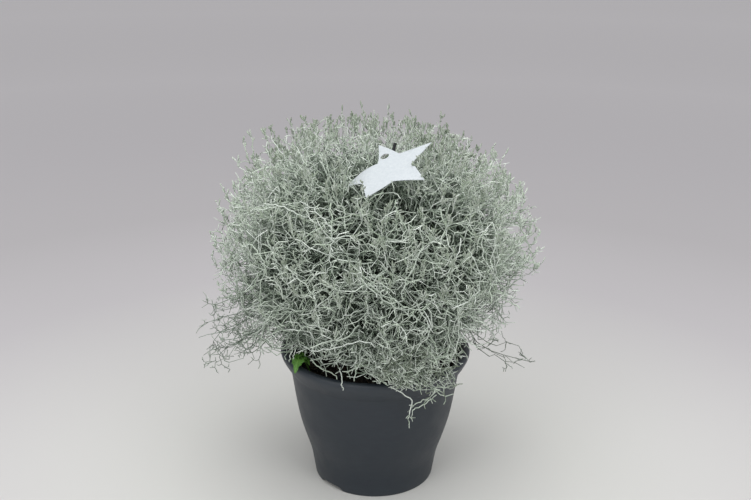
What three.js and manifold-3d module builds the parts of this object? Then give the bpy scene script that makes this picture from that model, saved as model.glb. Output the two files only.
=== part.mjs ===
// Potted cushion bush: a dense ball of wiry, silver-green twigs in a dark plastic nursery pot,
// with a star-shaped card tag on a slim stake and a small green weed at the rim.
// Units are millimetres. +Z is up, the pot stands on Z = 0 about the Z axis, and -Y is the front.

import * as THREE from 'three';
import { mergeVertices } from 'three/addons/utils/BufferGeometryUtils.js';
import Module from 'manifold-3d';

const wasm = await Module();
wasm.setup();

const SEED = 20;

// Clearance between neighbouring pieces.
const GAP = 0.3;

// Corners closer than this are one corner.
const SAME_CORNER = 1e-4;

// Pot: radius and height of the outside, from the foot up over the collar to its inner edge.
const POT_SIDES = 36;
const POT_WALL = 2.6;
const POT_BODY = [
  [71.0, 1.2], [73.2, 15], [75.7, 30], [79.1, 42], [83.4, 55], [87.8, 70],
  [91.3, 85], [93.9, 100], [96.2, 115], [98.4, 130], [99.6, 137.5],
];
const POT_COLLAR = [
  [103.4, 143], [107.2, 149], [110.2, 155], [111.1, 159], [109.6, 162], [106.5, 163],
  [103.4, 162], [101.4, 159],
];
const FOOT_EDGE_R = 69.8;
const FOOT_INNER_R = 61;
const FOOT_INNER_TOP_R = 59.5;
const FLOOR_UNDERSIDE = 5;
const FLOOR_TOP = 8;
const NOTCH_WIDTH = 37;
const NOTCH_HEIGHT = 5.5;
const NOTCH_SHOULDER = 8;
const NOTCH_INNER_R = 52;
const NOTCH_LENGTH = 30;
const NOTCH_ANGLES = [225, 45];
const DRAIN_COUNT = 4;
const DRAIN_CIRCLE_R = 42;
const DRAIN_R = 6;
const DRAIN_SIDES = 12;

// Soil: a low mound whose edge lies below the collar.
const SOIL_TOP = [[84, 138.4], [62, 141], [34, 143.5], [0, 145.5]];
const SOIL_EDGE_Z = 136;
const SOIL_ROUGHNESS = 1.4;
const SOIL_EDGE_SLOPE = 0.14;
const SOIL_HOLE_FLOOR = 112;

// Bush: half-widths across, front to back, up and down from its middle, out to the twig tips. It is
// squarer above its middle than below, its crown and its skirt lean a little to the left, and its
// skirt is tucked in at the right.
const BUSH_MIDDLE_Z = 272;
const BUSH_HALF = new THREE.Vector2(194, 174);
const BUSH_UP = 158;
const BUSH_DOWN = 150;
const SQUARENESS_UP = 2.4;
const SQUARENESS_DOWN = 2.15;
const CROWN_LEAN = { x: -8, from: 0.3, to: 0.9 };
const SKIRT_LEAN = { x: -18, from: 0.1, to: 0.8 };
const SKIRT_TUCK = { share: 0.13, from: 0.05, to: 0.75 };
const LEAN_SLACK = 0.85;
const SMALLEST_HALF = Math.min(BUSH_HALF.y, BUSH_UP, BUSH_DOWN) * LEAN_SLACK;

// Sprays: rings of leafy stems, by tilt from upright, with the radius at which they leave the soil.
const SPRAY_RINGS = [
  { tilt: 0, count: 1, turn: 0, soilR: 0, bendR: 0.2 },
  { tilt: 41, count: 5, turn: -54, soilR: 15, bendR: 0.25 },
  { tilt: 78, count: 7, turn: -79.3, soilR: 28, bendR: 0.25 },
  { tilt: 116, count: 8, turn: -90, soilR: 41, bendR: 0 },
];
const LOW_STEM_BEND_R = 66;
const LOW_STEM_BEND_Z = 205;
const STEM_R = 3.2;
const STEM_TIP_R = 2.4;
const STEM_SIDES = 6;
const STEM_START_Z = SOIL_HOLE_FLOOR + GAP;
const STEM_LEAVES_SOIL_Z = 152;

// Tangle: the dense inner mass of each spray, from which its twigs stand out.
const TANGLE_R = 0.54;
const TANGLE_REACH = 0.42;
const TANGLE_INNER_R = 0.3;
const TANGLE_OUTER_R = 0.88;
const TANGLE_LUMPS = [0.88, 1];
const TANGLE_MARGIN = 2.2;
const TANGLE_STAKE_MARGIN = 1;
const TANGLE_STAR_KEEP = 16;
const TANGLE_LOWEST_Z = 171;
const TANGLE_SHRINK = 0.96;
const TANGLE_LEAST = 0.04;

// Twigs: each leaves its spray's inner mass, bends once and forks into side twigs.
const TWIG_COUNT = 146;
const LOWEST_TWIG_TILT = 156;
const TWIG_BEND_R = 0.84;
const TWIG_BEND_LEAN = 0.3;
const TWIG_SHORTEN = 0.03;
const SHORTEST_TWIG = 0.04;
const TWIG_ROOT_DEPTH = 12;
const TWIG_TILT_JITTER = 3;
const TWIG_TURN_JITTER = 4;
const TWIG_R = [1.35, 1.15, 0.7];
const SIDE_TWIG_R = [0.55, 1.0];
const SIDE_TWIG_COUNT = [0.4, 3.2];
const SIDE_TWIG_LENGTH = [15, 27];
const SHORTEST_SIDE_TWIG = 8;
const SIDE_TWIG_SHRINK = 0.8;
const SIDE_TWIG_START = 0.12;
const SIDE_TWIG_SPAN = 0.7;
const SIDE_TWIG_LEAN = [32, 52];
const SIDE_TWIG_SPIN = 0.9;
const TWIG_SIDES = 3;
const TWIG_MARGIN = 0.6;
const CLEAR_STEPS = 8;
const TIP_RANGE = [0.88, 0.985];
const STEM_CORE_R = 60;
const STEM_CORE_Z = 262;
const RIM_KEEP = { innerR: 96, outerR: 113, top: 165 };
const SOIL_KEEP_Z = 149;

// Long twigs that mark the full width of the bush, by direction about Z.
const WIDE_TWIG_TURNS = [7, 86, 178, -84];
const WIDE_TWIG_TILT = 84;

// Below this height side twigs may leave the rounded outline.
const SKIRT_TOP_Z = 186;

// Twigs that hang over the rim: direction about Z, and radius and height of the bend and the tip.
const RIM_BEND = { bendR: 118, bendZ: 186 };
const HANGING_TWIGS = [
  { turn: -72, tipR: 121, tipZ: 124, ...RIM_BEND },
  { turn: -62, tipR: 125, tipZ: 146, ...RIM_BEND },
  { turn: -81, tipR: 119, tipZ: 150, ...RIM_BEND },
  { turn: -52, tipR: 124, tipZ: 156, ...RIM_BEND },
  { turn: -44, tipR: 125, tipZ: 152, ...RIM_BEND },
  { turn: -67, tipR: 128, tipZ: 154, ...RIM_BEND },
  { turn: -89, tipR: 121, tipZ: 160, ...RIM_BEND },
  { turn: -102, tipR: 118, tipZ: 154, ...RIM_BEND },
  { turn: 96, tipR: 121, tipZ: 140, ...RIM_BEND },
  { turn: 4, tipR: 190, tipZ: 132, bendR: 136, bendZ: 168 },
  { turn: 176, tipR: 192, tipZ: 182, bendR: 146, bendZ: 205 },
  { turn: -172, tipR: 174, tipZ: 158, bendR: 134, bendZ: 190 },
];

// Star tag: a bare card that lies on the slope of the bush.
const STAR_MIDDLE = new THREE.Vector3(12.6, -80, 398);
const STAR_NORMAL = new THREE.Vector3(-0.362, -0.292, 0.885).normalize();
const STAR_UP = new THREE.Vector3(0.442, 0.782, 0.439).normalize();
const STAR_TIP_R = 52;
const STAR_NOTCH_R = 23;
const STAR_THICK = 0.8;
const STAR_HOLE_R = 3.2;
const STAR_HOLE_SIDES = 12;
const STAR_HOLE_AT = [-12.5, 19];
const STAR_KEEP = 4;

// Tag stake: from the soil up past the edge of the card, which it holds.
const STAKE_FOOT = new THREE.Vector3(-48, -76, 118);
const STAKE_TOP = new THREE.Vector3(18.7, -45.8, 416);
const STAKE_R = 1.8;
const STAKE_SIDES = 8;

// Weed seedling at the left front of the rim.
const WEED_FOOT = new THREE.Vector3(-74, -43, 118);
const WEED_TOP = new THREE.Vector3(-77, -46, 166);
const WEED_STEM_R = 1.1;
const WEED_STEM_TIP_R = 0.9;
const WEED_STEM_BEND_Z = 144;
const WEED_LEAF_LENGTH = 17;
const WEED_LEAF_THICK = 0.8;
const WEED_LEAF_ROOT = 0.6;
const WEED_LEAVES = [
  { turn: -146, lift: 22, at: 1.0, size: 1.0 },
  { turn: -80, lift: 30, at: 1.0, size: 0.85 },
  { turn: 165, lift: 55, at: 0.96, size: 0.75 },
  { turn: -25, lift: 5, at: 0.8, size: 0.8 },
];
const WEED_KEEP_R = 26;

const UP = new THREE.Vector3(0, 0, 1);
const radians = THREE.MathUtils.degToRad;

// Seeded random numbers, so that every build gives the same bush.
function makeRandom(seed) {
  let state = seed;
  return (low = 0, high = 1) => {
    state = (state + 0x6d2b79f5) | 0;
    let mixed = Math.imul(state ^ (state >>> 15), 1 | state);
    mixed = (mixed + Math.imul(mixed ^ (mixed >>> 7), 61 | mixed)) ^ mixed;
    return low + (high - low) * (((mixed ^ (mixed >>> 14)) >>> 0) / 4294967296);
  };
}

// Geometry to a solid, with its vertices joined.
function toSolid(geometry) {
  const plain = geometry.clone();
  plain.deleteAttribute('normal');
  plain.deleteAttribute('uv');
  const merged = mergeVertices(plain, SAME_CORNER);
  return new wasm.Manifold(new wasm.Mesh({
    numProp: 3,
    vertProperties: new Float32Array(merged.attributes.position.array),
    triVerts: new Uint32Array(merged.index.array),
  }));
}

// Solid back to geometry.
function toGeometry(solid) {
  const mesh = solid.getMesh();
  const geometry = new THREE.BufferGeometry();
  geometry.setAttribute('position', new THREE.BufferAttribute(mesh.vertProperties, 3));
  geometry.setIndex(new THREE.BufferAttribute(mesh.triVerts, 1));
  geometry.computeVertexNormals();
  return geometry;
}

// Fuses solids pair by pair.
function fuse(solids) {
  let level = solids;
  while (level.length > 1) {
    const next = [];
    for (let i = 0; i < level.length; i += 2) {
      next.push(i + 1 < level.length ? level[i].add(level[i + 1]) : level[i]);
    }
    level = next;
  }
  return level[0];
}

// A closed profile of [radius, height] turned about Z.
function turned(profile, sides) {
  const points = profile.map(([r, z]) => new THREE.Vector2(r, z));
  return new THREE.LatheGeometry(points, sides).rotateX(Math.PI / 2);
}

// A closed tube through the points, with a radius at each.
function tube(points, radii, sides) {
  const positions = [];
  const index = [];
  const along = new THREE.Vector3().subVectors(points[1], points[0]).normalize();
  const across = new THREE.Vector3(0.36, 0.48, -0.8);
  if (Math.abs(across.dot(along)) > 0.9) across.set(0.8, -0.6, 0);
  points.forEach((point, i) => {
    const before = points[Math.max(i - 1, 0)];
    const after = points[Math.min(i + 1, points.length - 1)];
    along.subVectors(after, before).normalize();
    across.addScaledVector(along, -across.dot(along)).normalize();
    const third = new THREE.Vector3().crossVectors(along, across);
    for (let s = 0; s < sides; s += 1) {
      const turn = (2 * Math.PI * s) / sides;
      const corner = point.clone()
        .addScaledVector(across, radii[i] * Math.cos(turn))
        .addScaledVector(third, radii[i] * Math.sin(turn));
      positions.push(corner.x, corner.y, corner.z);
    }
  });
  for (let i = 0; i + 1 < points.length; i += 1) {
    for (let s = 0; s < sides; s += 1) {
      const here = i * sides + s;
      const beside = i * sides + ((s + 1) % sides);
      index.push(here, beside, beside + sides, here, beside + sides, here + sides);
    }
  }
  const last = (points.length - 1) * sides;
  for (let s = 1; s + 1 < sides; s += 1) {
    index.push(0, s + 1, s, last, last + s, last + s + 1);
  }
  const geometry = new THREE.BufferGeometry();
  geometry.setAttribute('position', new THREE.Float32BufferAttribute(positions, 3));
  geometry.setIndex(index);
  return geometry;
}

// An upright round peg, used to cut plain holes.
function peg(x, y, low, high, radius, sides) {
  const points = [new THREE.Vector3(x, y, low), new THREE.Vector3(x, y, high)];
  return toSolid(tube(points, [radius, radius], sides));
}

// Outer radius of a round hole with flat sides that clears a peg with as many flat sides.
function holeRadius(radius, sides) {
  return radius + GAP / Math.cos(Math.PI / sides);
}

// Pot.

const potInner = POT_BODY.filter(([, z]) => z > FLOOR_TOP)
  .map(([r, z]) => [r - POT_WALL, z]);
const FLOOR_R = POT_BODY[0][0] - POT_WALL;

function makePot() {
  const profile = [
    [0, FLOOR_UNDERSIDE], [FOOT_INNER_TOP_R, FLOOR_UNDERSIDE], [FOOT_INNER_R, 0], [FOOT_EDGE_R, 0],
    ...POT_BODY, ...POT_COLLAR, ...[...potInner].reverse(), [FLOOR_R, FLOOR_TOP], [0, FLOOR_TOP],
  ];
  let pot = toSolid(turned(profile, POT_SIDES));
  const arch = new THREE.Shape();
  arch.moveTo(-NOTCH_WIDTH / 2, -1);
  arch.lineTo(NOTCH_WIDTH / 2, -1);
  arch.lineTo(NOTCH_WIDTH / 2, 0);
  arch.lineTo(NOTCH_WIDTH / 2 - NOTCH_SHOULDER, NOTCH_HEIGHT - 1);
  arch.lineTo(0, NOTCH_HEIGHT);
  arch.lineTo(NOTCH_SHOULDER - NOTCH_WIDTH / 2, NOTCH_HEIGHT - 1);
  arch.lineTo(-NOTCH_WIDTH / 2, 0);
  for (const angle of NOTCH_ANGLES) {
    const cutter = new THREE.ExtrudeGeometry(arch, { depth: NOTCH_LENGTH, bevelEnabled: false });
    cutter.rotateX(Math.PI / 2).translate(0, -NOTCH_INNER_R, 0).rotateZ(radians(angle + 90));
    pot = pot.subtract(toSolid(cutter));
  }
  for (let i = 0; i < DRAIN_COUNT; i += 1) {
    const turn = (2 * Math.PI * i) / DRAIN_COUNT;
    pot = pot.subtract(peg(DRAIN_CIRCLE_R * Math.cos(turn), DRAIN_CIRCLE_R * Math.sin(turn),
      0, FLOOR_TOP + 1, DRAIN_R, DRAIN_SIDES));
  }
  return pot;
}

// Bush space: the bush as a ball of radius 1, so that directions share it out evenly.

function leanAt(rise) {
  const { smoothstep } = THREE.MathUtils;
  return CROWN_LEAN.x * smoothstep(rise, CROWN_LEAN.from, CROWN_LEAN.to)
    + SKIRT_LEAN.x * smoothstep(-rise, SKIRT_LEAN.from, SKIRT_LEAN.to);
}

function halfWidth(x, rise) {
  const { share, from, to } = SKIRT_TUCK;
  const tuck = x > 0 ? share * THREE.MathUtils.smoothstep(-rise, from, to) : 0;
  return BUSH_HALF.x * (1 - tuck);
}

function toBall(point) {
  const height = point.z - BUSH_MIDDLE_Z;
  const rise = height / (height > 0 ? BUSH_UP : BUSH_DOWN);
  const x = point.x - leanAt(rise);
  return new THREE.Vector3(x / halfWidth(x, rise), point.y / BUSH_HALF.y, rise);
}

function fromBall(ball) {
  return new THREE.Vector3(ball.x * halfWidth(ball.x, ball.z) + leanAt(ball.z),
    ball.y * BUSH_HALF.y, BUSH_MIDDLE_Z + ball.z * (ball.z > 0 ? BUSH_UP : BUSH_DOWN));
}

function direction(tilt, turn) {
  return new THREE.Vector3().setFromSphericalCoords(1, radians(tilt), 0)
    .applyAxisAngle(new THREE.Vector3(1, 0, 0), Math.PI / 2)
    .applyAxisAngle(UP, radians(turn + 90));
}

// How far the bush reaches in a direction: a little squarer than a ball.
function reach(way) {
  const flat = Math.hypot(way.x, way.y);
  const power = way.z > 0 ? SQUARENESS_UP : SQUARENESS_DOWN;
  return (flat ** power + Math.abs(way.z) ** power) ** (-1 / power);
}

const sprays = [];
for (const ring of SPRAY_RINGS) {
  for (let i = 0; i < ring.count; i += 1) {
    const turn = ring.turn + (360 * i) / ring.count;
    sprays.push({ ring, turn, way: direction(ring.tilt, turn), twigs: [] });
  }
}

// Least distance from a point to the neighbouring sprays' share of the bush.
function roomInShare(point, own) {
  const ball = toBall(point);
  let room = Infinity;
  for (const other of sprays) {
    if (other !== own) {
      const normal = new THREE.Vector3().subVectors(own.way, other.way).normalize();
      room = Math.min(room, normal.dot(ball) * SMALLEST_HALF);
    }
  }
  return room;
}

function nearestSpray(way) {
  return sprays.reduce((best, s) => (s.way.dot(way) > best.way.dot(way) ? s : best));
}

const starAcross = new THREE.Vector3().crossVectors(STAR_UP, STAR_NORMAL).normalize();
const stakeLine = new THREE.Line3(STAKE_FOOT, STAKE_TOP);

// Whether a point lies above the card tag or close under it.
function isAtStar(point, keep) {
  const fromStar = new THREE.Vector3().subVectors(point, STAR_MIDDLE);
  const height = fromStar.dot(STAR_NORMAL);
  const spread = fromStar.addScaledVector(STAR_NORMAL, -height).length();
  return height > -keep && spread < STAR_TIP_R + keep;
}

// Whether a twig of this radius may pass through the point.
function isClear(point, radius) {
  const flat = Math.hypot(point.x, point.y);
  if (flat > RIM_KEEP.innerR - radius && flat < RIM_KEEP.outerR + radius
    && point.z < RIM_KEEP.top + radius) return false;
  if (flat <= RIM_KEEP.innerR && point.z < SOIL_KEEP_Z) return false;
  if (flat < STEM_CORE_R && point.z < STEM_CORE_Z) return false;
  const toStake = stakeLine.closestPointToPoint(point, true, new THREE.Vector3()).distanceTo(point);
  if (toStake < STAKE_R + radius + 2 * TWIG_MARGIN) return false;
  if (isAtStar(point, STAR_KEEP)) return false;
  return point.distanceTo(WEED_TOP) > WEED_KEEP_R;
}

// Whether a straight length stays clear and inside its own spray's share.
function lengthFits(from, to, radius, own) {
  for (let i = 0; i <= CLEAR_STEPS; i += 1) {
    const point = new THREE.Vector3().lerpVectors(from, to, i / CLEAR_STEPS);
    if (!isClear(point, radius) || roomInShare(point, own) < radius + TWIG_MARGIN) return false;
  }
  return true;
}

// The lumpy inner mass of a spray, drawn in wherever it would leave its share of the bush.
function makeTangle(spray, random) {
  const lump = new THREE.IcosahedronGeometry(1, 1);
  lump.deleteAttribute('normal');
  lump.deleteAttribute('uv');
  const shape = mergeVertices(lump, SAME_CORNER);
  const place = shape.attributes.position;
  const ballMiddle = spray.way.clone().multiplyScalar(TANGLE_R);
  spray.middle = fromBall(ballMiddle);
  for (let i = 0; i < place.count; i += 1) {
    const ray = new THREE.Vector3().fromBufferAttribute(place, i);
    const ball = new THREE.Vector3();
    const outer = TANGLE_OUTER_R * random(...TANGLE_LUMPS);
    for (let size = TANGLE_REACH; size > TANGLE_LEAST; size *= TANGLE_SHRINK) {
      ball.copy(ballMiddle).addScaledVector(ray, size);
      const far = ball.length();
      const point = fromBall(ball);
      const besideStems = Math.hypot(point.x, point.y) > STEM_CORE_R || point.z > STEM_CORE_Z;
      if (besideStems && far > TANGLE_INNER_R && far < outer * reach(ball.clone().normalize())
        && point.z > TANGLE_LOWEST_Z && !isAtStar(point, TANGLE_STAR_KEEP)
        && roomInShare(point, spray) > TANGLE_MARGIN) break;
    }
    place.setXYZ(i, ...fromBall(ball));
  }
  const gapR = STAKE_R + TANGLE_STAKE_MARGIN;
  const channel = toSolid(tube([STAKE_FOOT, STAKE_TOP], [gapR, gapR], STAKE_SIDES));
  return toSolid(shape).subtract(channel);
}

// The stem from its hole in the soil to the middle of the spray.
function makeStem(spray) {
  const { ring, turn } = spray;
  const side = new THREE.Vector3(Math.cos(radians(turn)), Math.sin(radians(turn)), 0);
  const foot = side.clone().multiplyScalar(ring.soilR);
  const bend = ring.bendR > 0
    ? fromBall(spray.way.clone().multiplyScalar(ring.bendR))
    : side.clone().multiplyScalar(LOW_STEM_BEND_R).setZ(LOW_STEM_BEND_Z);
  spray.foot = foot;
  const points = [
    foot.clone().setZ(STEM_START_Z), foot.clone().setZ(STEM_LEAVES_SOIL_Z), bend, spray.middle,
  ];
  return toSolid(tube(points, [STEM_R, STEM_R, STEM_R, STEM_TIP_R], STEM_SIDES));
}

// One twig of a spray with its side twigs, as tubes to be fused.
function makeTwig(spray, bendPoint, tip, random) {
  const root = new THREE.Vector3().subVectors(bendPoint, spray.middle)
    .setLength(TWIG_ROOT_DEPTH).add(spray.middle);
  const parts = [toSolid(tube([root, bendPoint, tip], TWIG_R, TWIG_SIDES))];
  const along = new THREE.Vector3().subVectors(tip, bendPoint).normalize();
  const fan = new THREE.Vector3(random(-1, 1), random(-1, 1), random(-1, 1))
    .cross(along).normalize();
  const count = Math.round(random(...SIDE_TWIG_COUNT));
  for (let i = 0; i < count; i += 1) {
    const from = new THREE.Vector3().lerpVectors(bendPoint, tip,
      SIDE_TWIG_START + (SIDE_TWIG_SPAN * i) / count);
    const lean = radians(random(...SIDE_TWIG_LEAN)) * (i % 2 ? 1 : -1);
    const way = along.clone().applyAxisAngle(fan, lean)
      .applyAxisAngle(along, random(-SIDE_TWIG_SPIN, SIDE_TWIG_SPIN));
    let length = random(...SIDE_TWIG_LENGTH);
    for (; length > SHORTEST_SIDE_TWIG; length *= SIDE_TWIG_SHRINK) {
      const to = from.clone().addScaledVector(way, length);
      const ball = toBall(to);
      const inside = ball.length() < reach(ball.clone().normalize()) || to.z < SKIRT_TOP_Z;
      if (inside && lengthFits(from, to, SIDE_TWIG_R[1], spray)) {
        parts.push(toSolid(tube([from, to], SIDE_TWIG_R, TWIG_SIDES)));
        break;
      }
    }
  }
  return parts;
}

// Points the twigs all over the bush, evenly and a little at random, and gives each to its spray.
function growTwigs(random) {
  const lowest = Math.cos(radians(LOWEST_TWIG_TILT));
  const goldenTurn = 180 * (3 - Math.sqrt(5));
  for (let i = 0; i < TWIG_COUNT; i += 1) {
    const height = 1 - ((i + 0.5) / TWIG_COUNT) * (1 - lowest);
    const tilt = THREE.MathUtils.radToDeg(Math.acos(height))
      + random(-TWIG_TILT_JITTER, TWIG_TILT_JITTER);
    const way = direction(tilt,
      i * goldenTurn + random(-TWIG_TURN_JITTER, TWIG_TURN_JITTER));
    const spray = nearestSpray(way);
    const bendWay = way.clone().lerp(spray.way, TWIG_BEND_LEAN).normalize();
    const bend = fromBall(bendWay.multiplyScalar(TWIG_BEND_R));
    let far = reach(way) * random(...TIP_RANGE);
    for (; far > TWIG_BEND_R + SHORTEST_TWIG; far -= TWIG_SHORTEN) {
      const tip = fromBall(way.clone().multiplyScalar(far));
      if (lengthFits(bend, tip, TWIG_R[0], spray)) {
        spray.twigs.push(...makeTwig(spray, bend, tip, random));
        break;
      }
    }
  }
  for (const turn of WIDE_TWIG_TURNS) {
    const way = direction(WIDE_TWIG_TILT, turn);
    const spray = nearestSpray(way);
    const bend = fromBall(way.clone().lerp(spray.way, TWIG_BEND_LEAN).normalize()
      .multiplyScalar(TWIG_BEND_R));
    spray.twigs.push(...makeTwig(spray, bend, fromBall(way), random));
  }
  for (const { turn, bendR, bendZ, tipR, tipZ } of HANGING_TWIGS) {
    const side = new THREE.Vector3(Math.cos(radians(turn)), Math.sin(radians(turn)), 0);
    const bend = side.clone().multiplyScalar(bendR).setZ(bendZ);
    const tip = side.clone().multiplyScalar(tipR).setZ(tipZ);
    const spray = nearestSpray(toBall(bend).normalize());
    if (lengthFits(bend, tip, TWIG_R[0], spray)) {
      spray.twigs.push(...makeTwig(spray, bend, tip, random));
    }
  }
}

// Soil, with a hole for each stem, the stake and the weed.
function makeSoil(random) {
  const wall = potInner.filter(([, z]) => z < SOIL_EDGE_Z).map(([r, z]) => [r - GAP, z]);
  const [lastR, lastZ] = wall[wall.length - 1];
  const edgeR = lastR + (SOIL_EDGE_Z - lastZ) * SOIL_EDGE_SLOPE;
  const profile = [
    [0, FLOOR_TOP + GAP], [FLOOR_R - GAP, FLOOR_TOP + GAP], ...wall, [edgeR, SOIL_EDGE_Z],
    ...SOIL_TOP,
  ];
  const plug = turned(profile, POT_SIDES);
  plug.deleteAttribute('normal');
  plug.deleteAttribute('uv');
  const shape = mergeVertices(plug, SAME_CORNER);
  const place = shape.attributes.position;
  for (let i = 0; i < place.count; i += 1) {
    if (place.getZ(i) > SOIL_EDGE_Z + 0.5) {
      place.setZ(i, place.getZ(i) + random(-SOIL_ROUGHNESS, SOIL_ROUGHNESS));
    }
  }
  let soil = toSolid(shape);
  const stemHole = holeRadius(STEM_R, STEM_SIDES);
  for (const { foot } of sprays) {
    soil = soil.subtract(peg(foot.x, foot.y, SOIL_HOLE_FLOOR, STEM_LEAVES_SOIL_Z, stemHole,
      STEM_SIDES));
  }
  const weedHole = holeRadius(WEED_STEM_R, STEM_SIDES);
  soil = soil.subtract(peg(WEED_FOOT.x, WEED_FOOT.y, WEED_FOOT.z - GAP, STEM_LEAVES_SOIL_Z,
    weedHole, STEM_SIDES));
  const stakeWay = stakeLine.delta(new THREE.Vector3()).normalize();
  const stakeHole = [STAKE_FOOT.clone().addScaledVector(stakeWay, -GAP), STAKE_TOP];
  const holeR = holeRadius(STAKE_R, STAKE_SIDES);
  return soil.subtract(toSolid(tube(stakeHole, [holeR, holeR], STAKE_SIDES)));
}

// Star tag: five points, with a punched hole near the top one.
function makeStar() {
  const star = new THREE.Shape();
  for (let i = 0; i < 10; i += 1) {
    const radius = i % 2 ? STAR_NOTCH_R : STAR_TIP_R;
    const turn = radians(126 - 36 * i);
    const x = radius * Math.cos(turn);
    const y = radius * Math.sin(turn);
    if (i) star.lineTo(x, y);
    else star.moveTo(x, y);
  }
  const hole = new THREE.Path();
  for (let i = 0; i < STAR_HOLE_SIDES; i += 1) {
    const turn = (2 * Math.PI * i) / STAR_HOLE_SIDES;
    const x = STAR_HOLE_AT[0] + STAR_HOLE_R * Math.cos(turn);
    const y = STAR_HOLE_AT[1] + STAR_HOLE_R * Math.sin(turn);
    if (i) hole.lineTo(x, y);
    else hole.moveTo(x, y);
  }
  star.holes.push(hole);
  const card = new THREE.ExtrudeGeometry(star, { depth: STAR_THICK, bevelEnabled: false });
  card.translate(0, 0, -STAR_THICK / 2);
  const frame = new THREE.Matrix4().makeBasis(starAcross, STAR_UP, STAR_NORMAL);
  card.applyMatrix4(frame).translate(STAR_MIDDLE.x, STAR_MIDDLE.y, STAR_MIDDLE.z);
  return toGeometry(toSolid(card));
}

// A lobed leaf that lies along +X, with its stalk end at the origin.
function leafShape(length) {
  const outline = [
    [0, 0.05], [0.3, 0.09], [0.42, 0.33], [0.6, 0.24], [0.74, 0.36], [0.86, 0.18], [1, 0],
  ];
  const shape = new THREE.Shape();
  outline.forEach(([x, y], i) => {
    if (i) shape.lineTo(x * length, y * length);
    else shape.moveTo(x * length, y * length);
  });
  [...outline].reverse().slice(1).forEach(([x, y]) => shape.lineTo(x * length, -y * length));
  return shape;
}

function makeWeed() {
  const surface = new THREE.Vector3(WEED_FOOT.x, WEED_FOOT.y, WEED_STEM_BEND_Z);
  const radii = [WEED_STEM_R, WEED_STEM_R, WEED_STEM_TIP_R];
  const parts = [toSolid(tube([WEED_FOOT, surface, WEED_TOP], radii, STEM_SIDES))];
  for (const { turn, lift, at, size } of WEED_LEAVES) {
    const blade = new THREE.ExtrudeGeometry(leafShape(WEED_LEAF_LENGTH * size),
      { depth: WEED_LEAF_THICK, bevelEnabled: false });
    blade.translate(-WEED_LEAF_ROOT, 0, -WEED_LEAF_THICK / 2)
      .rotateY(radians(-lift)).rotateZ(radians(turn));
    const joint = new THREE.Vector3().lerpVectors(surface, WEED_TOP, at);
    if (at === 1) joint.addScaledVector(UP, -WEED_LEAF_THICK);
    blade.translate(joint.x, joint.y, joint.z);
    parts.push(toSolid(blade));
  }
  return fuse(parts);
}

// Materials and assembly.

function material(color, roughness) {
  return new THREE.MeshStandardMaterial({ color, roughness });
}

const group = new THREE.Group();
group.name = 'potted_cushion_bush';

function addPart(name, geometry, look) {
  const mesh = new THREE.Mesh(geometry, look);
  mesh.name = name;
  group.add(mesh);
}

const random = makeRandom(SEED);
const tangles = sprays.map((spray) => makeTangle(spray, random));
const stems = sprays.map((spray) => makeStem(spray));
growTwigs(random);

addPart('pot', toGeometry(makePot()), material(0x3f4448, 0.6));
addPart('soil', toGeometry(makeSoil(random)), material(0x2b231c, 1));
sprays.forEach((spray, i) => {
  const body = fuse([tangles[i], stems[i], ...spray.twigs]);
  const name = `bush_spray_${String(i + 1).padStart(2, '0')}`;
  addPart(name, toGeometry(body), material(0x9fa894, 0.8));
});
addPart('tag_stake', tube([STAKE_FOOT, STAKE_TOP], [STAKE_R, STAKE_R], STAKE_SIDES),
  material(0x1c2024, 0.5));
addPart('tag_star', makeStar(), material(0xe6e8ec, 0.7));
addPart('weed_seedling', toGeometry(makeWeed()), material(0x6fa03a, 0.7));

export default group;
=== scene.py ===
"""Potted cushion bush: silver wiry twigs in a dark plastic nursery pot.

The bush is grown twig by twig round the frame's sprays. The pot, the potting mix, the card tag and
the weed are finer meshes of their own, and the tag's stake keeps its solid with a new finish.
Lengths are metres. +Z is up, the pot stands on Z = 0, and -Y is the front.
"""

import logging
import math
from dataclasses import dataclass, field, replace
from enum import Enum

import bpy
import numpy as np
from mathutils import Matrix, Vector

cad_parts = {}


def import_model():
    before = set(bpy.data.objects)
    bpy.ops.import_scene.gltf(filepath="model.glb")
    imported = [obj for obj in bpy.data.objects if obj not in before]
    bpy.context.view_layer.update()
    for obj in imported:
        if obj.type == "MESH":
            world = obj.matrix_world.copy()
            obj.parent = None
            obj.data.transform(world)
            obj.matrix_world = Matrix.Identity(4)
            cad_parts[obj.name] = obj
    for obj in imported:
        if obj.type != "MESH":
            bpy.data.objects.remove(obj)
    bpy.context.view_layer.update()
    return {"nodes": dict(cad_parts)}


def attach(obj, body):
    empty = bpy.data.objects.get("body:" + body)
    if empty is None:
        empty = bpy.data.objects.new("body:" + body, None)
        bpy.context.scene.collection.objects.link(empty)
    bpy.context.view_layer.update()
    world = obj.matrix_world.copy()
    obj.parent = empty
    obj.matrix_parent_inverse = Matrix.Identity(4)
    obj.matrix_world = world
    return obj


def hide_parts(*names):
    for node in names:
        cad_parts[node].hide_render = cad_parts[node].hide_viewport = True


LOG = logging.getLogger("cushion_bush")
BODY = "root"
SEED = 20
MM = 0.001
UP = np.array([0.0, 0.0, 1.0])
SIDEWAYS = np.array([1.0, 0.0, 0.0])

# Places on a ball that are turned on by this angle each time spread evenly.
GOLDEN_TURN = math.pi * (3 - math.sqrt(5))

# The least length and the least share that count as more than nothing.
LEAST_LENGTH = 1e-9
LEAST_SHARE = 1e-6

Array = np.ndarray
Range = tuple[float, float]


class Slot(Enum):
    """Material slots of the record."""

    POT = "pot_plastic"
    SOIL = "potting_soil"
    TWIGS = "bush_twigs"
    TAG = "tag_card"
    WEED = "weed_leaf"


# Colours and shader nodes


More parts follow.
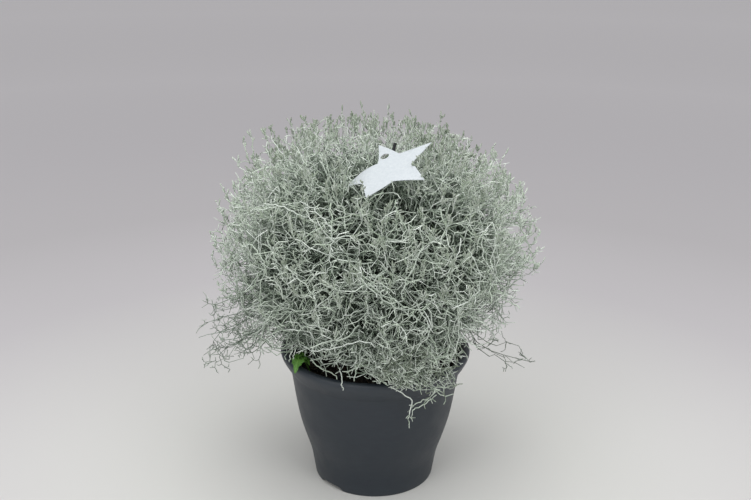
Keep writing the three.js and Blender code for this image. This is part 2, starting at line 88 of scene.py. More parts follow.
def linear(hex_colour: str) -> tuple[float, float, float, float]:
    """Turns an sRGB hex colour to linear light.

    Args:
        hex_colour: six hex digits, such as "3a4046".

    Returns:
        Red, green, blue and an alpha of 1.
    """
    parts = [int(hex_colour[i:i + 2], 16) / 255 for i in (0, 2, 4)]
    return tuple(p / 12.92 if p <= 0.04045 else ((p + 0.055) / 1.055) ** 2.4 for p in parts) + (1.0,)


@dataclass(frozen=True)
class Skin:
    """A material's node tree, its shader and the object's own coordinates."""

    tree: bpy.types.NodeTree
    shader: bpy.types.Node
    place: bpy.types.NodeSocket

    def add(self, kind: str, links: dict | None = None, settings: dict | None = None,
            stops: tuple = (), feeds: str = "") -> bpy.types.Node:
        """Adds a node with its settings and links.

        Args:
            kind: type of the node, such as "ShaderNodeTexNoise".
            links: a plain value or an output socket for each input, by name or number.
            settings: values of the node's own properties, by name.
            stops: places and hex colours of a colour ramp, in rising order.
            feeds: name of the shader's input that the node's first output goes to.

        Returns:
            The new node.
        """
        node = self.tree.nodes.new(kind)
        for name, value in (settings or {}).items():
            setattr(node, name, value)
        for key, value in (links or {}).items():
            if isinstance(value, bpy.types.NodeSocket):
                self.tree.links.new(value, node.inputs[key])
            else:
                node.inputs[key].default_value = value
        for i, (place, colour) in enumerate(stops):
            ramp = node.color_ramp.elements
            stop = ramp[i] if i < len(ramp) else ramp.new(place)
            stop.position = place
            stop.color = linear(colour)
        if feeds:
            self.tree.links.new(node.outputs[0], self.shader.inputs[feeds])
        return node


@dataclass(frozen=True)
class Finish:
    """What every finish has in common: a name, and how its shader bends and spreads light."""

    name: str
    ior: float = 1.5
    roughness: float = 0.6

    def make(self) -> bpy.types.Material:
        """Makes the material.

        Returns:
            The material, dressed by the finish's own nodes.
        """
        material = bpy.data.materials.new(self.name)
        material.use_nodes = True
        tree = material.node_tree
        shader = tree.nodes["Principled BSDF"]
        shader.inputs["IOR"].default_value = self.ior
        shader.inputs["Roughness"].default_value = self.roughness
        self.dress(Skin(tree, shader, tree.nodes.new("ShaderNodeTexCoord").outputs["Object"]))
        return material

    def dress(self, skin: Skin) -> None:
        """Adds the nodes of the finish. Each finish has its own."""


@dataclass(frozen=True)
class MouldedPolypropylene(Finish):
    """Recycled dark polypropylene, injection moulded.

    It gives the eye an even blue-grey skin with a soft sheen, a fine spark-eroded grain, faint flow
    streaks round the wall, a thin film of dust and dried water at the foot and under the collar, and a
    painted highlight in the same pale film that grows up the collar to its top.
    """

    body: str = "212831"
    streak: str = "242c34"
    # Colour of the pale film: dust, and on the collar also a painted highlight.
    dust_and_highlight: str = "50585f"
    # The real grain is a few tenths of a millimetre. It is drawn coarser, so that it shows.
    grain_mm: float = 0.9
    streak_mm: float = 14.0
    streak_squash: float = 3.5
    dust_and_highlight_mm: float = 26.0
    # How strong the pale film is, by height as a share of the whole: dust at the foot, and dust with a
    # painted highlight from under the collar up to its top.
    dust_and_highlight_by_height: tuple = ((0.0, "8c8c8c"), (0.1, "303030"), (0.7, "262626"), (0.86, "5c5c5c"),
                             (1.0, "b0b0b0"))
    height: float = 163 * MM
    gloss: float = 0.07
    matt: float = 0.09

    def dress(self, skin: Skin) -> None:
        """Adds flow streaks, dust with a painted highlight on the collar, and grain.

        Args:
            skin: nodes of the material.
        """
        flat = skin.add("ShaderNodeMapping", {
            "Vector": skin.place, "Scale": (1.0, 1.0, self.streak_squash)})
        streaks = skin.add("ShaderNodeTexNoise", {
            "Vector": flat.outputs[0], "Scale": 1 / (self.streak_mm * MM), "Detail": 4.0,
            "Roughness": 0.55})
        clean = skin.add("ShaderNodeValToRGB", {"Fac": streaks.outputs["Fac"]},
                         stops=((0.35, self.body), (0.7, self.streak)))
        cloud = skin.add("ShaderNodeTexNoise", {
            "Vector": skin.place, "Scale": 1 / (self.dust_and_highlight_mm * MM), "Detail": 7.0, "Roughness": 0.68})
        split = skin.add("ShaderNodeSeparateXYZ", {"Vector": skin.place})
        rise = skin.add("ShaderNodeMath", {0: split.outputs["Z"], 1: self.height},
                        {"operation": "DIVIDE"})
        where = skin.add("ShaderNodeValToRGB", {"Fac": rise.outputs[0]}, stops=self.dust_and_highlight_by_height)
        # The film paints dust at the foot, and dust with a painted highlight up the collar to its top.
        film = skin.add("ShaderNodeMath", {0: cloud.outputs["Fac"], 1: where.outputs["Color"]},
                        {"operation": "MULTIPLY"})
        dusty_and_lit = skin.add("ShaderNodeMix", {
            0: film.outputs[0], 6: clean.outputs["Color"], 7: linear(self.dust_and_highlight)}, {"data_type": "RGBA"})
        skin.tree.links.new(dusty_and_lit.outputs[2], skin.shader.inputs["Base Color"])
        skin.add("ShaderNodeMapRange", {
            "Value": cloud.outputs["Fac"], "From Min": 0.3, "From Max": 0.7,
            "To Min": self.roughness - self.gloss, "To Max": self.roughness + self.matt},
            feeds="Roughness")
        grain = skin.add("ShaderNodeTexNoise", {
            "Vector": skin.place, "Scale": 1 / (self.grain_mm * MM), "Detail": 2.0})
        skin.add("ShaderNodeBump", {
            "Height": grain.outputs["Fac"], "Strength": 0.12, "Distance": 0.15 * MM}, feeds="Normal")


@dataclass(frozen=True)
class PottingMix(Finish):
    """Damp peat and composted bark, filled loose.

    It gives the eye a dark rough bed with brown fibres and a few pale bits of bark.
    """

    peat: str = "16130f"
    bark: str = "2b231b"
    pale_bark: str = "5d4f3e"
    fibre_mm: float = 3.0
    lump_mm: float = 9.0

    def dress(self, skin: Skin) -> None:
        """Adds the mixed bits and their relief.

        Args:
            skin: nodes of the material.
        """
        bits = skin.add("ShaderNodeTexVoronoi", {
            "Vector": skin.place, "Scale": 1 / (self.fibre_mm * MM), "Randomness": 1.0})
        lumps = skin.add("ShaderNodeTexNoise", {
            "Vector": skin.place, "Scale": 1 / (self.lump_mm * MM), "Detail": 8.0, "Roughness": 0.7})
        tone = skin.add("ShaderNodeSeparateColor", {"Color": bits.outputs["Color"]})
        mixed = skin.add("ShaderNodeMath", {0: tone.outputs[0], 1: lumps.outputs["Fac"]},
                         {"operation": "MULTIPLY"})
        skin.add("ShaderNodeValToRGB", {"Fac": mixed.outputs[0]}, feeds="Base Color",
                 stops=((0.12, self.peat), (0.4, self.bark), (0.62, self.pale_bark)))
        skin.add("ShaderNodeBump", {
            "Height": mixed.outputs[0], "Strength": 0.9, "Distance": 1.2 * MM}, feeds="Normal")


@dataclass(frozen=True)
class FeltedTwig(Finish):
    """Young cushion bush twig, covered in a white woolly felt.

    It gives the eye matt silver-green threads: grey and brownish where they are old and inside, nearly
    white along the young lengths, and greener at the buds. Their age also carries painted shade, which
    darkens the twigs of the skirt and of the sides of the bush.
    """

    old: str = "566052"
    grown: str = "8f9b90"
    young: str = "f0f7f0"
    bud: str = "979f91"
    warm: str = "d2dbcd"
    # The real felt is far finer. It is drawn coarser, so that it shows.
    felt_mm: float = 1.6

    def dress(self, skin: Skin) -> None:
        """Adds the change of colour along each twig and from twig to twig, with the painted shade that
        the age attribute carries.

        Args:
            skin: nodes of the material.
        """
        # The age attribute holds each twig's age, darkened by painted shade on the skirt and the sides
        # of the bush.
        age = skin.add("ShaderNodeAttribute", settings={"attribute_name": "twig_age_and_shade"})
        tint = skin.add("ShaderNodeAttribute", settings={"attribute_name": "twig_tint"})
        along = skin.add("ShaderNodeValToRGB", {"Fac": age.outputs["Fac"]},
                         stops=((0.0, self.old), (0.4, self.grown), (0.8, self.young), (1.0, self.bud)))
        warmed = skin.add("ShaderNodeMix", {
            0: tint.outputs["Fac"], 6: along.outputs["Color"], 7: linear(self.warm)},
            {"data_type": "RGBA", "blend_type": "MULTIPLY"})
        felt = skin.add("ShaderNodeTexNoise", {
            "Vector": skin.place, "Scale": 1 / (self.felt_mm * MM), "Detail": 3.0})
        light = skin.add("ShaderNodeMapRange", {
            "Value": felt.outputs["Fac"], "From Min": 0.3, "From Max": 0.7,
            "To Min": 0.86, "To Max": 1.08})
        skin.add("ShaderNodeHueSaturation", {
            "Color": warmed.outputs[2], "Value": light.outputs[0]}, feeds="Base Color")
        skin.add("ShaderNodeBump", {
            "Height": felt.outputs["Fac"], "Strength": 0.35, "Distance": 0.25 * MM}, feeds="Normal")


@dataclass(frozen=True)
class CoatedCard(Finish):
    """White board with a smooth clay coating, die cut.

    It gives the eye a clean cool white with a breath of fibre.
    """

    white: str = "c7cdd1"
    shade: str = "bec5ca"
    fibre_mm: float = 2.5

    def dress(self, skin: Skin) -> None:
        """Adds the mottle of the coating and its slight relief.

        Args:
            skin: nodes of the material.
        """
        fibre = skin.add("ShaderNodeTexNoise", {
            "Vector": skin.place, "Scale": 1 / (self.fibre_mm * MM), "Detail": 5.0})
        skin.add("ShaderNodeValToRGB", {"Fac": fibre.outputs["Fac"]}, feeds="Base Color",
                 stops=((0.35, self.shade), (0.65, self.white)))
        skin.add("ShaderNodeBump", {
            "Height": fibre.outputs["Fac"], "Strength": 0.1, "Distance": 0.1 * MM}, feeds="Normal")


@dataclass(frozen=True)
class ExtrudedPlastic(Finish):
    """Black plastic stake, extruded.

    It gives the eye a thin dark line with fine drawing marks along it.
    """

    body: str = "17191c"
    worn: str = "2c2f33"
    # The real marks are finer. They are drawn coarser, so that they show.
    mark_mm: float = 0.8
    mark_stretch: float = 0.05

    def dress(self, skin: Skin) -> None:
        """Adds the drawing marks.

        Args:
            skin: nodes of the material.
        """
        stretched = skin.add("ShaderNodeMapping", {
            "Vector": skin.place, "Scale": (1.0, 1.0, self.mark_stretch)})
        marks = skin.add("ShaderNodeTexNoise", {
            "Vector": stretched.outputs[0], "Scale": 1 / (self.mark_mm * MM), "Detail": 3.0})
        skin.add("ShaderNodeValToRGB", {"Fac": marks.outputs["Fac"]}, feeds="Base Color",
                 stops=((0.4, self.body), (0.75, self.worn)))
        skin.add("ShaderNodeBump", {
            "Height": marks.outputs["Fac"], "Strength": 0.2, "Distance": 0.1 * MM}, feeds="Normal")


@dataclass(frozen=True)
class SeedlingLeaf(Finish):
    """Fresh soft weed leaf.

    It gives the eye a bright yellow-green with paler veins.
    """

    blade: str = "4a7f2c"
    light_blade: str = "74a84a"
    mottle_mm: float = 4.0

    def dress(self, skin: Skin) -> None:
        """Adds the veins from the mesh's own measure and a soft mottle.

        Args:
            skin: nodes of the material.
        """
        vein = skin.add("ShaderNodeAttribute", settings={"attribute_name": "vein"})
        mottle = skin.add("ShaderNodeTexNoise", {
            "Vector": skin.place, "Scale": 1 / (self.mottle_mm * MM), "Detail": 4.0})
        total = skin.add("ShaderNodeMath", {0: vein.outputs["Fac"], 1: mottle.outputs["Fac"]},
                         {"operation": "ADD"})
        skin.add("ShaderNodeValToRGB", {"Fac": total.outputs[0]}, feeds="Base Color",
                 stops=((0.35, self.blade), (0.95, self.light_blade)))
        skin.add("ShaderNodeBump", {
            "Height": total.outputs[0], "Strength": 0.4, "Distance": 0.3 * MM}, feeds="Normal")


@dataclass(frozen=True)
class StudioFloor(Finish):
    """Painted studio floor, rolled on.

    It gives the eye a pale ground near the pot and a soft mauve grey further out. It is lighter again
    where the lamps hardly reach, so that it looks evenly lit.
    """

    # Colour at each distance from the pot, in metres.
    tones: tuple = ((0.25, "d4d4d1"), (0.7, "c4c1c4"), (1.1, "c2bfc2"), (1.7, "cfccd0"),
                    (2.8, "e7e4e8"), (5.0, "f4f1f5"))

    def dress(self, skin: Skin) -> None:
        """Adds the change of tone away from the pot.

        Args:
            skin: nodes of the material.
        """
        near_r, far_r = self.tones[0][0], self.tones[-1][0]
        out = skin.add("ShaderNodeVectorMath", {0: skin.place}, {"operation": "LENGTH"})
        share = skin.add("ShaderNodeMapRange", {
            "Value": out.outputs["Value"], "From Min": near_r, "From Max": far_r})
        stops = tuple(((r - near_r) / (far_r - near_r), colour) for r, colour in self.tones)
        skin.add("ShaderNodeValToRGB", {"Fac": share.outputs[0]}, stops=stops, feeds="Base Color")


# Mesh helpers


def unit(ways: Array) -> Array:
    """Scales each vector to a length of 1."""
    return ways / np.maximum(np.linalg.norm(ways, axis=-1, keepdims=True), LEAST_LENGTH)


def dot(a: Array, b: Array) -> Array:
    """Scalar product along the last axis, which is kept."""
    return np.sum(a * b, axis=-1, keepdims=True)


def smooth_step(low: float, high: float, value: Array) -> Array:
    """Rises softly from 0 at low to 1 at high."""
    share = np.clip((value - low) / (high - low), 0, 1)
    return share * share * (3 - 2 * share)


def spline(points: Array, count: int) -> Array:
    """Runs one smooth curve through points.

    Args:
        points: control points, at least two.
        count: how many points the curve gets.

    Returns:
        Points of the curve, evenly shared among the spans.
    """
    held = np.vstack([2 * points[0] - points[1], points, 2 * points[-1] - points[-2]])
    place = np.linspace(0, len(points) - 1, count)
    span = np.minimum(place.astype(int), len(points) - 2)
    t = (place - span)[:, None]
    a, b, c, d = (held[span + i] for i in range(4))
    return 0.5 * (2 * b + (c - a) * t + (2 * a - 5 * b + 4 * c - d) * t ** 2
                  + (3 * b - a - 3 * c + d) * t ** 3)


def make_piece(name: str, vertices: Array, faces: list[Array], material: bpy.types.Material,
               values: dict[str, Array] | None = None) -> bpy.types.Object:
    """Makes a smooth-shaded mesh object and links it to the scene.

    Args:
        name: the piece's name.
        vertices: corner points.
        faces: arrays of corner numbers, one array for each number of corners a face has.
        material: its finish.
        values: numbers kept at each vertex for the finish, by name.

    Returns:
        The new object.
    """
    mesh = bpy.data.meshes.new(name)
    mesh.vertices.add(len(vertices))
    mesh.vertices.foreach_set("co", np.asarray(vertices, np.float32).ravel())
    corners = np.concatenate([f.ravel() for f in faces]).astype(np.int32)
    sizes = np.concatenate([np.full(len(f), f.shape[1]) for f in faces])
    mesh.loops.add(len(corners))
    mesh.loops.foreach_set("vertex_index", corners)
    mesh.polygons.add(len(sizes))
    mesh.polygons.foreach_set("loop_start", (np.cumsum(sizes) - sizes).astype(np.int32))
    mesh.update(calc_edges=True)
    mesh.polygons.foreach_set("use_smooth", np.ones(len(sizes), bool))
    for key, numbers in (values or {}).items():
        attribute = mesh.attributes.new(key, "FLOAT", "POINT")
        attribute.data.foreach_set("value", np.asarray(numbers, np.float32))
    mesh.materials.append(material)
    piece = bpy.data.objects.new(name, mesh)
    bpy.context.scene.collection.objects.link(piece)
    return piece


def settle(piece: bpy.types.Object, node: str) -> None:
    """Says what a piece rides on and which node it stands for.

    Args:
        piece: the piece.
        node: the node of the frame that it replaces.
    """
    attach(piece, BODY)
    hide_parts(node)


def bands(rings: int, sides: int) -> Array:
    """Four-cornered faces between rings of points that follow one another.

    Args:
        rings: how many rings there are.
        sides: how many points each ring has.

    Returns:
        Corner numbers of each face.
    """
    ring, side = np.meshgrid(np.arange(rings - 1), np.arange(sides), indexing="ij")
    here, beside = ring * sides + side, ring * sides + (side + 1) % sides
    return np.stack([here, beside, beside + sides, here + sides], -1).reshape(-1, 4)


def turned(profile: Array, sides: int) -> tuple[Array, Array]:
    """Turns a closed outline about Z.

    Args:
        profile: radius and height of each point, all off the axis, running up the outside.
        sides: how many columns go round.

    Returns:
        Vertices and four-cornered faces.
    """
    turn = 2 * math.pi * np.arange(sides) / sides
    r, z = profile[:, :1], profile[:, 1:]
    vertices = np.stack([r * np.cos(turn), r * np.sin(turn), z + 0 * turn], -1).reshape(-1, 3)
    return vertices, bands(len(profile) + 1, sides) % len(vertices)


def prism(foot: Array, top: Array) -> tuple[Array, list[Array]]:
    """A closed shape with flat ends between two loops of points.

    Args:
        foot: points of one loop.
        top: as many points of the other.

    Returns:
        Vertices and faces.
    """
    sides = len(foot)
    end = np.arange(sides)
    return np.vstack([foot, top]), [bands(2, sides), end[::-1][None], (end + sides)[None]]


def peg(foot: Array, top: Array, radius: float, sides: int) -> tuple[Array, list[Array]]:
    """A round peg with flat ends, used to cut plain holes.

    Args:
        foot: middle of one end.
        top: middle of the other.
        radius: its radius.
        sides: how many flat sides it has.

    Returns:
        Vertices and faces.
    """
    along = unit(top - foot)
    not_along = [0.3, 0.9, 0.1]
    across = unit(np.cross(along, not_along))
    turn = 2 * math.pi * np.arange(sides)[:, None] / sides
    ring = radius * (np.cos(turn) * across + np.sin(turn) * np.cross(along, across))
    return prism(foot + ring, top + ring)


def shell(sheet: Array, faces: Array, rim: Array, half: Array) -> tuple[Array, Array]:
    """Thickens a sheet to a thin closed shell.

    Args:
        sheet: points of the sheet.
        faces: its four-cornered faces.
        rim: numbers of the points round its edge.
        half: half of its thickness, as a way from the sheet.

    Returns:
        Vertices and four-cornered faces.
    """
    count = len(sheet)
    ahead = np.roll(rim, -1)
    edge = np.stack([rim, ahead, ahead + count, rim + count], -1)
    return np.vstack([sheet + half, sheet - half]), np.vstack([faces, faces[:, ::-1] + count, edge])


def cut(piece: bpy.types.Object, vertices: Array, faces: list[Array]) -> None:
    """Takes a closed shape out of a piece.

    Args:
        piece: the piece that is cut.
        vertices: corner points of the shape.
        faces: its faces.
    """
    tool = make_piece("cutter", vertices, faces, piece.data.materials[0])
    modifier = piece.modifiers.new("cut", "BOOLEAN")
    modifier.operation = "DIFFERENCE"
    modifier.solver = "EXACT"
    modifier.object = tool
    result = bpy.data.meshes.new_from_object(piece.evaluated_get(
        bpy.context.evaluated_depsgraph_get()))
    piece.modifiers.clear()
    piece.data = result
    bpy.data.objects.remove(tool)


# Pot


@dataclass
class NurseryPot:
    """The moulded pot: foot ring with drain notches, swelling wall and rolled collar."""

    sides: int = 144
    wall: float = 2.6 * MM
    body: Array = field(default_factory=lambda: MM * np.array([
        [71, 1.2], [73.2, 15], [75.7, 30], [79.1, 42], [83.4, 55], [87.8, 70],
        [91.3, 85], [93.9, 100], [96.2, 115], [98.4, 130], [99.6, 137.5]]))
    body_points: int = 28
    collar: Array = field(default_factory=lambda: MM * np.array([
        [99.6, 137.5], [103.4, 143], [107.2, 149], [110.2, 155], [111.1, 159], [109.6, 162],
        [106.5, 163], [103.4, 162], [101.4, 159]]))
    collar_points: int = 26
    foot_edge_r: float = 69.8 * MM
    foot_edge_bevel: Range = (0.8 * MM, 0.35 * MM)
    foot_inner_r: float = 61 * MM
    foot_inner_bevel: float = 0.6 * MM
    foot_top_r: float = 59.5 * MM
    floor_underside: float = 5 * MM
    floor_top: float = 8 * MM
    notch_width: float = 37 * MM
    notch_height: float = 5.5 * MM
    notch_shoulder: float = 8 * MM
    notch_crown: float = 0.14
    notch_points: int = 21
    notch_inner_r: float = 52 * MM
    notch_length: float = 30 * MM
    notch_turns: tuple = (225, 45)
    drain_count: int = 4
    drain_circle_r: float = 42 * MM
    drain_r: float = 6 * MM
    drain_sides: int = 28
    axis_r: float = 0.5 * MM
    margin: float = 1 * MM
    sharp_edge: float = 50

    def outline(self) -> Array:
        """Outline of the wall, from the middle of the underside out, up, in and down again.

        Returns:
            Radius and height of each point.
        """
        body = spline(self.body, self.body_points)
        collar = spline(self.collar, self.collar_points)[1:]
        inner = body[body[:, 1] > self.floor_top + self.margin][::-1] - [self.wall, 0]
        out, up = self.foot_edge_bevel
        underside = [[self.axis_r, self.floor_underside], [self.foot_top_r, self.floor_underside],
                     [self.foot_inner_r, self.foot_inner_bevel],
                     [self.foot_inner_r + self.foot_inner_bevel, 0],
                     [self.foot_edge_r, 0], [self.foot_edge_r + out, up]]
        inside = [[self.body[0, 0] - self.wall, self.floor_top], [self.axis_r, self.floor_top]]
        return np.vstack([underside, body, collar, inner, inside])

    def notch_cutter(self, turn: float) -> tuple[Array, list[Array]]:
        """A round-shouldered bar that cuts one drain notch in the foot.

        Args:
            turn: direction of the notch about Z, in degrees.

        Returns:
            Vertices and faces.
        """
        half = self.notch_width / 2
        across = np.linspace(-half, half, self.notch_points)
        shoulder = np.sin(np.clip((half - np.abs(across)) / self.notch_shoulder, 0, 1) * math.pi / 2)
        crown = np.cos(across / half * math.pi / 2)
        height = self.notch_height * ((1 - self.notch_crown) * shoulder + self.notch_crown * crown)
        arch = np.stack([across, height], -1)[::-1]
        section = np.vstack([[[-half, -self.margin], [half, -self.margin]], arch])
        near, far = self.notch_inner_r, self.notch_inner_r + self.notch_length
        a = math.radians(turn)
        out, side = np.array([math.cos(a), math.sin(a)]), np.array([-math.sin(a), math.cos(a)])
        loops = [np.hstack([r * out + section[:, :1] * side, section[:, 1:]]) for r in (near, far)]
        return prism(*loops)

    def build(self) -> None:
        """Makes the pot and cuts its notches and drain holes."""
        vertices, faces = turned(self.outline(), self.sides)
        pot = make_piece("nursery_pot", vertices, [faces],
                         MouldedPolypropylene("moulded_polypropylene", roughness=0.46).make())
        for turn in self.notch_turns:
            cut(pot, *self.notch_cutter(turn))
        for i in range(self.drain_count):
            a = 2 * math.pi * i / self.drain_count
            x, y = self.drain_circle_r * math.cos(a), self.drain_circle_r * math.sin(a)
            foot, top = np.array([x, y, self.margin]), np.array([x, y, self.floor_top + self.margin])
            cut(pot, *peg(foot, top, self.drain_r, self.drain_sides))
        pot.data.set_sharp_from_angle(angle=math.radians(self.sharp_edge))
        settle(pot, "pot")
        LOG.info("pot: %d faces", len(pot.data.polygons))


# Soil


@dataclass
class PottingSoil:
    """The potting mix in the pot: a low uneven mound strewn with bits of bark.

    A crumb's shape is half its length, width and height beside its size.
    """

    top: Array = field(default_factory=lambda: MM * np.array([
        [0, 145.5], [34, 143.5], [62, 141], [84, 138.4], [96, 136.5]]))
    highest: float = 147 * MM
    wall_gap: float = 0.3 * MM
    wall_points: int = 24
    sides: int = 120
    rings: int = 46
    roughness: float = 0.8 * MM
    bed_depth: float = 0.5 * MM
    crumb_count: int = 420
    crumb_size: Range = (2 * MM, 6 * MM)
    crumb_shape: tuple = (0.5, 0.35, 0.22)
    crumb_corners: Range = (0.6, 1.1)
    crumb_lean: float = 0.35
    crumb_lift: float = 0.5 * MM

    def build(self, pot: NurseryPot, random: np.random.Generator) -> None:
        """Makes the bed and the loose bits on it.

        Args:
            pot: the pot that it fills.
            random: source of chance.
        """
        edge_z = self.top[-1, 1]
        inner = spline(pot.body, self.wall_points) - [pot.wall + self.wall_gap, 0]
        inner = inner[(inner[:, 1] > pot.floor_top + pot.margin) & (inner[:, 1] < edge_z)]
        edge_r = inner[-1, 0]
        radius = np.linspace(edge_r, pot.axis_r, self.rings)
        surface = np.stack([radius, np.interp(radius, self.top[:, 0], self.top[:, 1])], -1)
        base = pot.floor_top + self.wall_gap
        outline = np.vstack([[[pot.axis_r, base], [inner[0, 0], base]], inner, surface])
        vertices, faces = turned(outline, self.sides)
        bed = vertices[:, 2] > edge_z - self.bed_depth
        vertices[bed, 2] += random.normal(0, self.roughness, bed.sum())
        vertices[:, 2] = np.minimum(vertices[:, 2], self.highest)
        crumbs, crumb_faces = self.crumbs(edge_r, random)
        piece = make_piece("potting_mix", np.vstack([vertices, crumbs]),
                           [faces, crumb_faces + len(vertices)],
                           PottingMix("damp_potting_mix", roughness=0.95).make())
        settle(piece, "soil")
        LOG.info("soil: %d crumbs", self.crumb_count)

    def crumbs(self, edge_r: float, random: np.random.Generator) -> tuple[Array, Array]:
        """Loose bits of bark: uneven six-sided chips that lie half sunk in the bed.

        Args:
            edge_r: radius that they stay inside.
            random: source of chance.

        Returns:
            Vertices and four-cornered faces.
        """
        box = np.array([[x, y, z] for z in (-1, 1) for x, y in ((-1, -1), (1, -1), (1, 1), (-1, 1))])
        walls = np.array([[3, 2, 1, 0], [4, 5, 6, 7], [0, 1, 5, 4], [1, 2, 6, 5], [2, 3, 7, 6],
                          [3, 0, 4, 7]])
        count = self.crumb_count
        r = (edge_r - self.crumb_size[1]) * np.sqrt(random.uniform(0, 1, count))
        turn = random.uniform(0, 2 * math.pi, count)
        size = random.uniform(*self.crumb_size, (count, 3)) * self.crumb_shape
        spin = random.uniform(0, 2 * math.pi, count)
        shape = box[None] * size[:, None] * random.uniform(*self.crumb_corners, (count, 8, 3))
        x = shape[..., 0] * np.cos(spin)[:, None] - shape[..., 1] * np.sin(spin)[:, None]
        y = shape[..., 0] * np.sin(spin)[:, None] + shape[..., 1] * np.cos(spin)[:, None]
        lean = random.normal(0, self.crumb_lean, (count, 2))
        z = shape[..., 2] + x * lean[:, :1] + y * lean[:, 1:]
        middle = np.interp(r, self.top[:, 0], self.top[:, 1]) + self.crumb_lift
        vertices = np.stack([x + (r * np.cos(turn))[:, None], y + (r * np.sin(turn))[:, None],
                             z + middle[:, None]], -1)
        faces = walls[None] + 8 * np.arange(count)[:, None, None]
        return vertices.reshape(-1, 3), faces.reshape(-1, 4)


# Bush


@dataclass(frozen=True)
class BushSpace:
    """The bush as a ball of radius 1 about its middle, a little squarer than a real ball.

    Its crown and its skirt lean a little to the left, and its skirt is tucked in at the right. Each of
    these sets in between two heights of the ball, counted up for the crown and down for the skirt.
    """

    middle_z: float = 0.272
    half_x: float = 0.190
    half_y: float = 0.174
    up: float = 0.158
    down: float = 0.150
    square_up: float = 2.24
    square_down: float = 2.15
    crown_lean: float = -6 * MM
    crown_band: Range = (0.3, 0.9)
    skirt_lean: float = -18 * MM
    skirt_band: Range = (0.1, 0.8)
    tuck: float = 0.13
    tuck_band: Range = (0.05, 0.75)

    def lean(self, rise: Array) -> Array:
        """How far the bush leans in x at a height in the ball."""
        return (self.crown_lean * smooth_step(*self.crown_band, rise)
                + self.skirt_lean * smooth_step(*self.skirt_band, -rise))

    def width(self, x: Array, rise: Array) -> Array:
        """Half-width at a height in the ball, less where the skirt is tucked in at the right."""
        return self.half_x * (1 - self.tuck * (x > 0) * smooth_step(*self.tuck_band, -rise))

    def to_ball(self, points: Array) -> Array:
        """Scales points in metres to the ball.

        Args:
            points: points in metres.

        Returns:
            The same points in the ball.
        """
        rise = points[..., 2] - self.middle_z
        rise = rise / np.where(rise > 0, self.up, self.down)
        x = points[..., 0] - self.lean(rise)
        return np.stack([x / self.width(x, rise), points[..., 1] / self.half_y, rise], -1)

    def from_ball(self, ball: Array) -> Array:
        """Scales points of the ball back to metres.

        Args:
            ball: points in the ball.

        Returns:
            The same points in metres.
        """
        rise = ball[..., 2]
        x = ball[..., 0] * self.width(ball[..., 0], rise) + self.lean(rise)
        return np.stack([x, ball[..., 1] * self.half_y,
                         self.middle_z + rise * np.where(rise > 0, self.up, self.down)], -1)

    def share(self, ball: Array) -> Array:
        """How far out points of the ball are: 0 in the middle, 1 on the bush's outline.

        Args:
            ball: points in the ball.

        Returns:
            How far out each one is.
        """
        power = np.where(ball[..., 2] > 0, self.square_up, self.square_down)
        flat = np.hypot(ball[..., 0], ball[..., 1])
        return (flat ** power + np.abs(ball[..., 2]) ** power) ** (1 / power)

    def outward(self, points: Array) -> Array:
        """Way from the middle of the bush to each point."""
        return unit(points - np.array([0, 0, self.middle_z]))


def ball_ways(tilt: Array, turn: Array) -> Array:
    """Directions by tilt from upright and turn about Z, both in radians."""
    return np.stack([np.sin(tilt) * np.cos(turn), np.sin(tilt) * np.sin(turn), np.cos(tilt)], -1)


@dataclass(frozen=True)
class SprayRing:
    """A ring of sprays that lean out alike, with where their stems leave the soil and bend.

    Its tilt and turn are in degrees, and its bend is a share of the ball, or 0 for the low sprays, whose
    stems bend near the rim.
    """

    tilt: float
    count: int
    turn: float
    soil_r: float
    bend: float


@dataclass(frozen=True)
class TwigOrder:
    """How the twigs of one order fork from their parents.

    A twig changes its way a little at each of its points, to one side and the other in turn, and the
    twigs that fork from those points take the side that it leaves. Leans are in degrees and curls in
    radians. Twigs that hang free may reach below the edge of the foliage over the rim.
    """

    first_node: int
    share: float
    lean: Range
    length: Range
    points: int
    radii: tuple
    ages: Range
    curl: Range
    lift: float
    outward: float
    zigzag: float = 0.25
    wander: float = 0.12
    sides: int = 3
    per_node: int = 1
    hangs_free: bool = False


@dataclass(frozen=True)
class HangingTwig:
    """A branch over the rim or beside the bush.

    It holds the direction of its tip about Z in degrees, the radius and height of its tip and of its
    bend, how stout and how fresh it is beside a branch of the bush, where lower freshness is also
    painted shade on twigs that lie in shade, and how many degrees its tip has swept round from its bend.
    """

    turn: float
    tip_r: float
    tip_z: float
    bend_r: float = 0.119
    bend_z: float = 0.186
    stout: float = 0.6
    fresh_and_shaded: float = 1.0
    sweep: float = 0.0


@dataclass(frozen=True)
class RimStrand:
    """One strand over the rim that stands out from the rest.

    It holds the direction about Z in degrees and the height in millimetres of the points that it runs
    through, how far it is from the pot's axis, and from which of its points and how often twiglets
    fork from it.
    """

    points: tuple
    reach: float = 0.1165
    twiglets_from: int = 2
    twiglets: float = 0.25


@dataclass(frozen=True)
class StrandLook:
    """Points, thickness, age and unevenness of the strands that stand out."""

    points: int
    radii: Range
    age: float
    noise: float
    sides: int = 5


# Strands that hang down over the pot, the first one to a small star of twiglets.
RIM_STRANDS = (
    RimStrand(((-82, 165), (-75, 155), (-70, 147), (-70, 138), (-71, 130), (-72, 124)), 0.117, 9, 1.0),
    RimStrand(((-52, 151), (-60, 143), (-65, 142), (-70, 137))),
    RimStrand(((-55, 146), (-63, 138), (-70, 134)), 0.118),
    RimStrand(((-57, 158), (-54, 148), (-50, 142), (-42, 138)), 0.118, 6, 0.3),
    RimStrand(((-50, 178), (-45, 166), (-42, 154), (-41, 146)), 0.119, 8, 0.3),
    RimStrand(((-128, 185), (-123, 178), (-118, 176), (-114, 174), (-111, 168)), 0.114, 3, 0.4),
    RimStrand(((-109, 184), (-108, 170), (-108, 162), (-107, 157)), 0.116, 9, 0.3),
    RimStrand(((-140, 199), (-142, 184), (-144, 171)), 0.118, 9, 0.3),
    RimStrand(((-137, 196), (-140, 183), (-141, 176)), 0.117, 9, 0.0),
    RimStrand(((96, 190), (97, 165), (99, 140)), 0.119, 6, 0.5),
)

